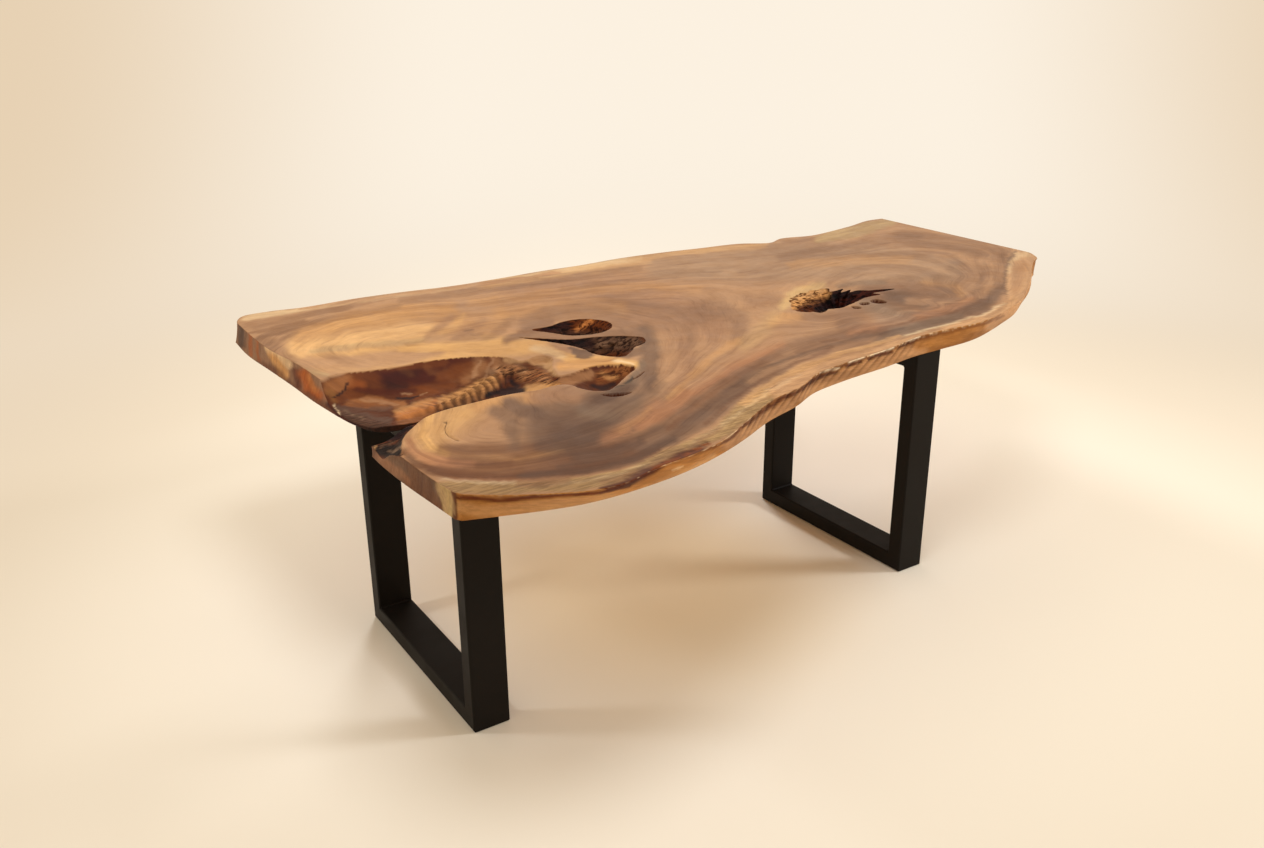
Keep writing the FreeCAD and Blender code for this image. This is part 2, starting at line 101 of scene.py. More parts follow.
def to_plan(pixels):
    """The plan points in mm, on the slab's top face, that are seen at these pixels."""
    right, up, ahead = (np.array(axis) for axis in camera_axes())
    pixels = np.array(pixels, float)
    across = (pixels[:, :1] - IMAGE_WIDTH / 2) / FOCAL_PIXELS
    down = (pixels[:, 1:] - IMAGE_HEIGHT / 2) / FOCAL_PIXELS
    ray = ahead + right * across - up * down
    place = np.array(CAMERA_PLACE)
    reach = (TOP * MM - place[2]) / ray[:, 2:]
    return (place + ray * reach)[:, :2] / MM


# --------------------------------------------------- the slab's plan, in mm
# The outline, from the forked end to the narrow end: the place along the slab,
# the place across it, and how far the underside is set back from the top ridge.
SLAB_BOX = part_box("live_edge_slab")
TOP = SLAB_BOX[1].z / MM
BOTTOM = SLAB_BOX[0].z / MM
THICKNESS = TOP - BOTTOM
NEAR_EDGE = [
    (-1400, -752, 18), (-1327, -806, 29), (-1245, -853, 50), (-1150, -891, 66),
    (-1088, -893, 64), (-1013, -870, 44), (-879, -848, 40), (-808, -830, 40),
    (-724, -790, 29), (-650, -747, 17), (-520, -679, 11), (-394, -641, 16),
    (-292, -588, 12), (-151, -560, 14), (25, -536, 12), (182, -500, 2),
    (274, -494, 0), (443, -499, 18), (566, -473, 28), (650, -443, 29),
    (760, -398, 27), (922, -298, 17), (1038, -220, 5), (1143, -143, -3),
    (1271, -53, -6), (1337, -15, -6), (1353, 6, -4), (1382, 52, 0), (1389, 103, 0),
]
# How far the underside is drawn in along X towards the narrow end's near corner.
TIP_UNDERCUT = ([1150, 1271, 1337, 1389], [0, -10, -20, -20])
FAR_EDGE = [
    (-1422, 777, 6), (-1412, 812, 8), (-1391, 846, 12), (-1297, 861, 16),
    (-1204, 849, 18), (-1033, 862, 20), (-860, 857, 16), (-686, 838, 12),
    (-490, 845, 14), (-320, 859, 18), (-151, 860, 20), (36, 876, 22),
    (217, 869, 18), (394, 848, 14), (577, 825, 12), (689, 771, 8),
    (774, 809, 16), (916, 785, 14), (1082, 813, 16), (1197, 842, 16),
    (1368, 893, 14), (1438, 890, 12),
]
# The cut across the forked end: the place across, and its top and bottom edge.
FAR_LOBE_END = [
    (777, -1422, -1434), (621, -1425, -1440), (436, -1421, -1428),
    (265, -1398, -1417), (100, -1390, -1409), (26, -1390, -1402), (-49, -1390, -1394),
    (-100, -1385, -1386), (-140, -1376, -1376),
]
NEAR_LOBE_END = [
    (-333, -1418, -1420), (-354, -1418, -1421), (-518, -1416, -1419),
    (-669, -1409, -1408), (-752, -1400, -1402),
]
# The split between the lobes, from the end to its inner tip and back.
CLEFT_FAR = [
    (-1376, -140), (-1363, -180), (-1340, -204), (-1288, -215), (-1224, -223), (-1215, -236),
]
CLEFT_NEAR = [
    (-1215, -236), (-1225, -256), (-1264, -276), (-1344, -311), (-1389, -331), (-1418, -333),
]

# The rim of the recess between the lobes: from outside the far lobe's end, in
# along the hollow, round the knob and the scoop, and back out at the near lobe.
RECESS_RIM = [
    (-1540, 92), (-1460, 92), (-1384, 100), (-1350, 122), (-1316, 121), (-1283, 110), (-1253, 102),
    (-1200, 92), (-1143, 93), (-1120, 94), (-1087, 91), (-1014, 75), (-962, 52), (-925, 27), (-893, -13),
    (-882, -50), (-862, -50), (-841, -42), (-814, -44), (-800, -62), (-806, -95),
    (-831, -135), (-850, -185), (-858, -222), (-829, -223), (-790, -210), (-751, -201),
    (-700, -213), (-665, -235), (-652, -267), (-661, -283), (-698, -310),
    (-746, -346), (-790, -380), (-820, -394), (-850, -377), (-870, -337),
    (-876, -300), (-891, -287), (-926, -287), (-965, -292), (-1014, -282),
    (-1080, -281), (-1149, -287), (-1215, -293), (-1274, -313), (-1323, -356),
    (-1364, -400), (-1394, -460), (-1417, -518), (-1460, -600), (-1540, -700),
]
# How wide the bank inside the rim is, at places near the rim.
BANK_WIDTHS = [
    (-1400, 100, 115), (-1250, 90, 125), (-1089, 85, 145), (-960, 50, 170),
    (-890, -20, 110), (-820, -50, 16), (-840, -170, 16), (-750, -200, 45),
    (-665, -250, 25), (-746, -346, 45), (-820, -390, 30), (-875, -310, 14),
    (-1000, -285, 40), (-1215, -293, 30), (-1300, -340, 32), (-1350, -385, 42),
    (-1410, -500, 110),
]
# The height of the recess's floor at plan points.
FLOOR_HEIGHTS = [
    (-1410, 60, 731), (-1405, -40, 728), (-1420, -140, 727), (-1310, 20, 731),
    (-1300, -60, 731), (-1200, 0, 732), (-1154, -55, 733), (-1103, -30, 735),
    (-1051, -60, 739), (-980, -30, 745), (-1275, -147, 733), (-1210, -145, 735),
    (-1340, -170, 729), (-1250, -200, 730), (-1149, -190, 731), (-1056, -175, 733),
    (-965, -160, 738), (-921, -172, 757), (-880, -120, 764), (-885, -178, 767),
    (-885, -240, 769), (-949, -215, 752), (-1000, -240, 735), (-1100, -250, 733),
    (-830, -60, 766), (-812, -80, 768), (-835, -255, 765), (-790, -235, 757),
    (-745, -235, 747), (-708, -245, 745), (-674, -262, 755), (-780, -280, 742),
    (-730, -305, 744), (-800, -345, 742), (-845, -350, 752), (-850, -300, 761),
    (-1418, -336, 747), (-1389, -331, 749), (-1366, -322, 751), (-1344, -311, 757),
    (-1315, -300, 762), (-1262, -276, 750), (-1400, -400, 738), (-1410, -480, 736),
]
# The recess in mm: how far its floor keeps from the underside and from the top face,
# the least wood below it, its bank's curve, its roughness, and where that fades out.
FLOOR_ABOVE = 7
FLOOR_BELOW = 4
LEAST_WOOD = 6
BANK_CURVE = 1.8
FLOOR_LUMPS = 2.2
FLOOR_GRIT = 1.1
ROUGH_FROM = -1400
ROUGH_FADE = 60
# The crest of the ribbed root that rises along the hollow.
ROOT_CREST = [
    (-1300, -160, 735), (-1232, -152, 739), (-1168, -148, 744), (-1106, -136, 749),
    (-1034, -108, 758), (-960, -75, 767), (-900, -80, 770),
]
ROOT_HALF_WIDTH = 34.0
ROOT_FALL = 22.0  # how far the root's flank drops within its half width
RIB_PITCH = 27.0
RIB_DEPTH = 6.5
RIB_STRETCH = ([60, 130, 330, 400], [0, 1, 1, 0.4])  # how ribbed it is along its crest
RIB_LEAN = (0.5, 0.2)  # how the ribs lean away from the crest, on its near and far side
RIB_WANDER = 9

# Loops in the top face that go right through, and shallow slits.
VOIDS = {
    "far_void": [
        (-713, 199), (-647, 203), (-600, 222), (-568, 226), (-530, 217), (-500, 190),
        (-481, 154), (-494, 100), (-537, 65), (-599, 59), (-648, 83), (-681, 140),
    ],
    "middle_void": [
        (-776, 142), (-742, 112), (-706, 74), (-669, 47), (-596, 27), (-515, -18),
        (-487, -51), (-510, -100), (-560, -123), (-600, -158), (-630, -176),
        (-666, -151), (-686, -105), (-687, -57), (-694, -22), (-713, 27), (-744, 84),
    ],
    "right_void": [
        (121, 0), (153, 32), (186, 55), (212, 63), (241, 75), (261, 73), (290, 85),
        (307, 74), (332, 82), (355, 73), (332, 35), (348, 34), (393, 40), (354, 8),
        (404, 15), (379, -6), (420, -4), (446, -24), (489, -37), (535, -59),
        (482, -62), (432, -61), (442, -84), (398, -86), (363, -90), (319, -107),
        (268, -124), (219, -138), (193, -135), (174, -128), (142, -144), (119, -145),
        (111, -127), (89, -114), (76, -92), (79, -67), (100, -31),
    ],
}
VOID_CLOSING = {"far_void": 0.45, "middle_void": 0.5, "right_void": 0.62}
SLITS = [
    [(-850, -411), (-844, -433), (-813, -449), (-776, -438), (-799, -427), (-832, -414)],
    [(-734, -364), (-701, -352), (-649, -312), (-681, -331)],
    [(351, -129), (385, -122), (393, -150), (383, -175), (359, -175), (341, -153)],
    [(261, -140), (275, -162), (260, -181), (243, -172), (248, -149)],
    [(304, -127), (337, -135), (324, -157), (292, -153)],
]
SLIT_DEPTH = 16.0
SLIT_BANK = 5.0
LOBE_CRACK = [(-1250, -377), (-1267, -404), (-1277, -428), (-1282, -458), (-1279, -489)]
CRACK_HALF_WIDTH = 1.0
CRACK_DEPTH = 2.0
CORNER_RADIUS = 15.0  # the rounding of the near lobe's corner

# How finely the slab's skin is drawn, and how its arrises are eased.
LINE_STEP = 12.0
CRACK_STEP = 4.0
OUTLINE_STEP = 6.0
VOID_STEP = 4.0
FLAT_STEP = 11.5
RECESS_STEP = 5.5
SLIT_STEP = 3.5
UNDERSIDE_STEP = 45.0
EASE = 2.6  # radius of the eased arris
UNDER_EASE = 1.0
WALL_ROWS = 11
VOID_ROWS = 12


# ------------------------------------------------------------ plan geometry
def smooth_line(points, spacing, closed=False):
    """Rows at an even spacing along a smooth line through the given rows."""
    knots = np.array(points, float)
    if closed:
        knots = np.vstack([knots[-3:], knots, knots[:4]])
    along = np.r_[0.0, np.cumsum(np.linalg.norm(np.diff(knots[:, :2], axis=0), axis=1))]
    slopes = np.gradient(knots, along, axis=0)
    start, end = (along[3], along[-4]) if closed else (along[0], along[-1])
    count = max(int(round((end - start) / spacing)), 2)
    places = np.linspace(start, end, count, endpoint=not closed)
    piece = np.clip(np.searchsorted(along, places, "right") - 1, 0, len(along) - 2)
    span = (along[piece + 1] - along[piece])[:, None]
    t = (places - along[piece])[:, None] / span
    rise = t * t * (3 - 2 * t)
    leave = t * (1 - t) ** 2 * span
    arrive = t * t * (t - 1) * span
    return (
        knots[piece] * (1 - rise)
        + knots[piece + 1] * rise
        + slopes[piece] * leave
        + slopes[piece + 1] * arrive
    )


def nearest_on(points, line, closed=False):
    """How far points are from a line, and how far along it their nearest place is."""
    line = np.array(line, float)[:, :2]
    ends = np.roll(line, -1, axis=0) if closed else line[1:]
    starts = line if closed else line[:-1]
    best = np.full(len(points), np.inf)
    along = np.zeros(len(points))
    walked = 0.0
    for start, end in zip(starts, ends):
        way = end - start
        length = np.linalg.norm(way)
        share = np.clip(((points - start) @ way) / length**2, 0, 1)
        apart = np.linalg.norm(points - start - share[:, None] * way, axis=1)
        closer = apart < best
        best = np.where(closer, apart, best)
        along = np.where(closer, walked + share * length, along)
        walked += length
    return best, along


def inside(points, loop):
    """Which points lie inside a closed loop."""
    found = np.zeros(len(points), bool)
    x, y = points[:, 0], points[:, 1]
    for (x0, y0), (x1, y1) in zip(loop, np.roll(loop, -1, axis=0)):
        if y0 == y1:
            continue
        crosses = (y0 > y) != (y1 > y)
        found ^= crosses & (x < (x1 - x0) * (y - y0) / (y1 - y0) + x0)
    return found


def thin_plate(knots, values, give=0.0):
    """A smooth surface through the values given at plan points in mm."""
    knots = np.array(knots, float) * MM

    def bend(points):
        square = ((points[:, None] - knots[None]) ** 2).sum(axis=2)
        return square * np.log(square + 1e-12)

    count = len(knots)
    flat = np.column_stack([np.ones(count), knots])
    system = np.zeros((count + 3, count + 3))
    system[:count, :count] = bend(knots) + give * np.eye(count)
    system[:count, count:] = flat
    system[count:, :count] = flat.T
    weights = np.linalg.solve(system, np.r_[values, 0.0, 0.0, 0.0])

    def surface(points):
        heights = []
        for part in np.array_split(points * MM, len(points) // 8000 + 1):
            plane = np.column_stack([np.ones(len(part)), part])
            heights.append(bend(part) @ weights[:count] + plane @ weights[count:])
        return np.concatenate(heights)

    return surface


def blend_near(points, places):
    """A value at points, weighted from the nearest of the places (x, y, value)."""
    places = np.array(places, float)
    square = ((points[:, None] - places[None, :, :2]) ** 2).sum(axis=2)
    weight = 1 / (square + 100) ** 2
    return (weight @ places[:, 2]) / weight.sum(axis=1)


def lumps(points, size, octaves=3, stretch=(1, 1, 1)):
    """Soft noise from about -1 to 1, with lumps of a size in mm along each axis."""
    scaled = points / (np.array(stretch) * size)
    return np.array([noise.fractal(p, 1.0, 2.0, octaves) for p in scaled.tolist()])


def normals_of(loop):
    """The outward direction, in plan, at each point of a counter-clockwise loop."""
    way = np.roll(loop, -1, axis=0)[:, :2] - np.roll(loop, 1, axis=0)[:, :2]
    way /= np.linalg.norm(way, axis=1)[:, None]
    return np.column_stack([way[:, 1], -way[:, 0]])


def counter_clockwise(loop):
    x, y = loop[:, 0], loop[:, 1]
    area = (x * np.roll(y, -1) - y * np.roll(x, -1)).sum()
    return loop if area > 0 else loop[::-1]


# ------------------------------------------------- the slab's upper surface
RIM_LINE = smooth_line(RECESS_RIM, LINE_STEP)
CREST_LINE = smooth_line(ROOT_CREST, LINE_STEP)
floor_surface = thin_plate(
    [(x, y) for x, y, _ in FLOOR_HEIGHTS], [z for _, _, z in FLOOR_HEIGHTS], give=0.0005
)
CRACK_LINE = smooth_line(LOBE_CRACK, CRACK_STEP)
SLIT_LOOPS = [smooth_line(loop, SLIT_STEP, closed=True) for loop in SLITS]


def root_ribs(points):
    """How far points are from the root's crest, how far along it, and its ribs' wave."""
    apart, along = nearest_on(points, CREST_LINE)
    near_side = points[:, 1] < np.interp(points[:, 0], CREST_LINE[:, 0], CREST_LINE[:, 1])
    lean = np.where(near_side, *RIB_LEAN) * apart
    lean = lean + RIB_WANDER * lumps(np.column_stack([points, np.zeros(len(points))]), 45, 2)
    wave = np.cos(2 * math.pi * (along + lean) / RIB_PITCH)
    ribbed = np.interp(along, *RIB_STRETCH)
    ribbed = ribbed * np.exp(-((apart / ROOT_HALF_WIDTH) ** 2) / 2)
    return apart, along, ribbed * (np.abs(wave) ** 0.7 * np.sign(wave) - 1) / 2


def root_rise(points, floor):
    """The floor with the ribbed root on it."""
    apart, along, ribs = root_ribs(points)
    steps = np.linalg.norm(np.diff(CREST_LINE[:, :2], axis=0), axis=1)
    walked = np.r_[0.0, np.cumsum(steps)]
    crest = np.interp(along, walked, CREST_LINE[:, 2])
    share = apart / ROOT_HALF_WIDTH
    root = crest - ROOT_FALL * share**2 + RIB_DEPTH * ribs
    return np.maximum(floor, np.where(share < 1.8, root, BOTTOM))


def upper_heights(points):
    """The height of the slab's upper surface at plan points."""
    heights = np.full(len(points), TOP)
    rim = inside(points, RIM_LINE[:, :2])
    hollow = points[rim]
    if len(hollow):
        apart, _ = nearest_on(hollow, RIM_LINE)
        share = np.clip(apart / blend_near(hollow, BANK_WIDTHS), 0, 1)
        bank = 1 - (1 - share) ** BANK_CURVE
        floor = np.clip(floor_surface(hollow), BOTTOM + FLOOR_ABOVE, TOP - FLOOR_BELOW)
        floor = root_rise(hollow, floor)
        at_floor = np.column_stack([hollow, floor])
        rough = FLOOR_LUMPS * lumps(at_floor, 45) + FLOOR_GRIT * lumps(at_floor, 14)
        inland = np.clip((hollow[:, 0] - ROUGH_FROM) / ROUGH_FADE, 0.15, 1)
        depth = (TOP - floor + rough * inland) * bank
        heights[rim] = np.clip(TOP - depth, BOTTOM + LEAST_WOOD, TOP)
    for loop in SLIT_LOOPS:
        cut = inside(points, loop)
        if cut.any():
            apart, _ = nearest_on(points[cut], loop, closed=True)
            heights[cut] -= SLIT_DEPTH * np.clip(apart / SLIT_BANK, 0, 1)
    apart, _ = nearest_on(points, CRACK_LINE)
    heights -= CRACK_DEPTH * np.clip(1 - apart / CRACK_HALF_WIDTH, 0, 1)
    return heights


# -------------------------------------------------------- the slab's outline
# The parts of the skin; each vertex belongs to one.
ZONES = (
    "top", "near_wall", "narrow_wall", "far_wall", "far_lobe_end", "cleft",
    "near_lobe_end", "void_wall", "underside",
)
TOP_ZONE = ZONES.index("top")
VOID_ZONE = ZONES.index("void_wall")
UNDER_ZONE = ZONES.index("underside")


def round_corner(rows, corner):
    """Pull the rows beside the near lobe's corner inwards, as its rounding does."""
    apart = np.linalg.norm(rows[:, :2] - np.array(corner), axis=1)
    pull = 0.41 * CORNER_RADIUS * np.clip(1 - apart / CORNER_RADIUS, 0, 1) ** 2
    rows[:, :2] += pull[:, None] * math.sqrt(0.5)


def outline_rows():
    """The outline, counter-clockwise: plan point, and the shift to the underside."""
    near = [(x, y, np.interp(x, *TIP_UNDERCUT), back) for x, y, back in NEAR_EDGE]
    far = [(x, y, 0, -back) for x, y, back in FAR_EDGE]
    far_end = [(top, y, low - top, 0) for y, top, low in FAR_LOBE_END]
    near_end = [(top, y, low - top, 0) for y, top, low in NEAR_LOBE_END]
    near[0] = near_end[-1]
    far[0] = far_end[0]
    narrow_end = [near[-1], far[-1]]
    cleft_far = [(x, y, 0, 0) for x, y in CLEFT_FAR]
    cleft_near = [(x, y, 0, 0) for x, y in CLEFT_NEAR]
    sides = [
        ("near_wall", near), ("narrow_wall", narrow_end), ("far_wall", far[::-1]),
        ("far_lobe_end", far_end), ("cleft", cleft_far), ("cleft", cleft_near),
        ("near_lobe_end", near_end),
    ]
    rows = []
    zones = []
    for zone, line in sides:
        rows.append(smooth_line(line, OUTLINE_STEP)[:-1])
        zones.append(np.full(len(rows[-1]), ZONES.index(zone)))
    rows = np.vstack(rows)
    round_corner(rows, near[0][:2])
    return rows, np.concatenate(zones)


class Skin:
    """The vertices and faces of one piece, gathered part by part."""

    def __init__(self):
        self.points = []
        self.zones = []
        self.faces = []
        self.count = 0

    def add(self, points, zone):
        """Add vertices of one zone and return their numbers."""
        self.points.append(points)
        self.zones.append(np.broadcast_to(zone, len(points)))
        self.count += len(points)
        return np.arange(self.count - len(points), self.count)

    def strip(self, upper, lower):
        """Join two rows of vertices, closed in a ring, by triangles facing outwards."""
        upper_next = np.roll(upper, -1)
        lower_next = np.roll(lower, -1)
        self.faces.append(np.column_stack([upper, lower, lower_next]))
        self.faces.append(np.column_stack([upper, lower_next, upper_next]))


def hex_points(low, high, step):
    """Plan points in a triangular pattern that fills a box."""
    rows = int((high[1] - low[1]) / (step * math.sqrt(3) / 2)) + 1
    columns = int((high[0] - low[0]) / step) + 1
    column, row = np.meshgrid(np.arange(columns), np.arange(rows))
    x = low[0] + step * (column + 0.5 * (row % 2))
    y = low[1] + step * math.sqrt(3) / 2 * row
    return np.column_stack([x.ravel(), y.ravel()])


def gap_to(points, taken):
    """How far each point is from the nearest of the points already taken."""
    tree = kdtree.KDTree(len(taken))
    for index, (x, y) in enumerate(taken.tolist()):
        tree.insert((x, y, 0), index)
    tree.balance()
    return np.array([tree.find((x, y, 0))[2] for x, y in points.tolist()])


def spaced_from(points, taken, gap):
    """The points that keep a gap from all the points already taken."""
    return points[gap_to(points, taken) > gap]


def sheet_triangles(loops, lines, points):
    """Triangles of the sheet inside the first loop and outside the other loops."""
    edges = []
    start = 0
    for line in loops + lines:
        numbers = list(range(start, start + len(line)))
        edges += zip(numbers, numbers[1:])
        if start < sum(len(loop) for loop in loops):
            edges.append((numbers[-1], numbers[0]))
        start += len(line)
    verts = np.vstack(loops + lines + [points])
    result = geometry.delaunay_2d_cdt([Vector(v) for v in verts.tolist()], edges, [], 0, 1e-4)
    out_verts = np.array([tuple(v) for v in result[0]])
    triangles = np.array(result[2])
    middles = out_verts[triangles].mean(axis=1)
    keep = inside(middles, loops[0])
    for loop in loops[1:]:
        keep &= ~inside(middles, loop)
    return out_verts, triangles[keep]


# ------------------------------------------------------- the wood's figure
# Lines that the growth rings follow, in picture pixels on the top face, and
# how deep in the tree each lies, in metres from the bark.
RING_LINES = [
    (0.00, [(456, 494), (550, 493), (627, 482), (696, 453), (736, 430), (774, 399),
            (832, 367), (906, 342), (980, 322), (1010, 308), (1016, 296)]),
    (0.06, [(435, 481), (520, 480), (580, 475), (640, 463), (680, 441), (720, 410),
            (745, 395), (790, 370), (830, 352), (880, 340), (920, 325), (960, 318),
            (990, 305), (1005, 290), (1004, 256)]),
    (0.10, [(418, 466), (440, 474), (500, 476), (560, 468), (640, 452), (680, 430),
            (715, 400), (760, 370), (810, 350), (860, 335), (920, 317), (955, 311),
            (985, 298), (998, 280), (998, 256)]),
    (0.15, [(405, 448), (418, 460), (450, 468), (500, 470), (560, 461), (620, 449),
            (660, 430), (690, 408), (740, 372), (800, 345), (850, 330), (910, 313),
            (950, 306), (976, 292), (987, 272), (987, 254)]),
    (0.20, [(410, 430), (412, 445), (425, 456), (460, 464), (510, 463), (560, 453),
            (620, 437), (660, 415), (700, 388), (740, 362), (790, 338), (850, 323),
            (900, 312), (940, 302), (965, 290), (974, 272), (960, 258), (920, 250),
            (860, 254), (810, 262), (775, 270), (745, 276), (700, 277), (640, 281),
            (560, 289), (500, 295), (440, 301), (380, 309), (330, 318), (290, 330),
            (268, 345)]),
    (0.30, [(426, 421), (422, 437), (432, 450), (460, 458), (510, 455), (570, 441),
            (620, 424), (660, 401), (690, 378), (722, 352), (744, 326), (750, 306),
            (742, 292), (710, 286), (660, 288), (600, 292), (520, 300), (440, 308),
            (380, 314), (340, 322), (305, 335), (284, 350), (300, 362), (325, 373)]),
    (0.30, [(776, 300), (788, 282), (830, 268), (890, 261), (930, 264), (956, 276),
            (956, 290), (930, 301), (890, 313), (840, 322), (796, 324), (776, 312),
            (776, 300)]),
    (0.36, [(450, 414), (440, 432), (455, 446), (490, 450), (540, 442), (590, 427),
            (640, 403), (668, 380), (692, 352), (700, 330), (690, 312), (650, 304),
            (600, 303), (520, 311), (440, 320), (380, 327), (330, 340), (318, 352)]),
    (0.42, [(505, 412), (520, 433), (560, 430), (600, 415), (635, 396), (655, 375),
            (668, 350), (660, 330), (630, 318), (570, 314), (500, 322), (440, 332),
            (380, 345), (440, 349), (520, 347), (560, 352), (600, 358)]),
    (0.38, [(905, 297), (918, 291), (938, 292), (946, 299), (930, 305), (912, 304)]),
    (0.05, [(250, 322), (350, 305), (450, 291), (560, 274), (640, 262), (700, 255),
            (760, 250), (810, 243), (850, 234), (898, 224)]),
    (0.12, [(258, 334), (300, 323), (350, 312), (450, 297), (560, 281), (640, 271),
            (700, 264), (760, 259), (830, 250), (900, 238), (940, 242)]),
    (0.00, [(241, 317), (350, 299), (500, 278), (620, 258), (700, 248), (775, 242),
            (835, 231), (880, 219)]),
]


def ring_field():
    """How deep in the tree any plan point lies, in metres from the bark."""
    knots = []
    depths = []
    for depth, line in RING_LINES:
        knots.append(to_plan(line))
        depths += [depth] * len(line)
    return thin_plate(np.vstack(knots), depths, give=0.001)


# ------------------------------------------------------- the wood's colours
# Colours as the eye sees them, sRGB from 0 to 255.
SAP_PALE = (240, 212, 172)
SAP_EDGE = (228, 192, 148)
SAP_TAN = (210, 163, 114)
OLIVE_GREY = (172, 140, 100)
PALE_OCHRE = (214, 174, 120)
FAWN = (160, 112, 76)
CHIP = (250, 234, 206)
SAP_WARM = (206, 160, 118)
SAP_CREAM = (196, 162, 118)
BUTTER = (238, 187, 128)
HONEY = (228, 176, 114)
AMBER = (208, 154, 99)
TAN = (188, 144, 107)
HEART = (173, 130, 98)
ROSE = (180, 126, 90)
UMBER = (146, 109, 83)
SMOKE = (124, 95, 76)
DUSK = (104, 78, 63)
PLUM = (118, 80, 58)
CINNAMON = (156, 106, 60)
GINGER = (188, 120, 68)
RUST = (168, 92, 48)
SIENNA = (152, 98, 60)
RUSSET = (160, 102, 62)
WINE = (114, 64, 37)
MAHOGANY = (82, 42, 22)
UMBRA = (75, 39, 22)
LOBE_TAN = (198, 151, 103)
NIGHT = (50, 25, 12)
MAUVE = (98, 72, 60)
CHOCOLATE = (92, 50, 27)
OXBLOOD = (98, 48, 24)
GOLDEN = (188, 131, 73)
BARK_DARK = (60, 40, 31)
BARK = (84, 60, 47)
# Near-black, for painted shade in voids and slits.
DEEP_SHADE = (44, 27, 18)
# Near-black, for painted shadow.
SHADOW_BLACK = (20, 15, 11)
PAINTED_REFLECTION = (166, 140, 116)
NOSE_BARK = (50, 41, 36)
PALE_OLIVE = (198, 167, 118)
ASH = (133, 108, 88)

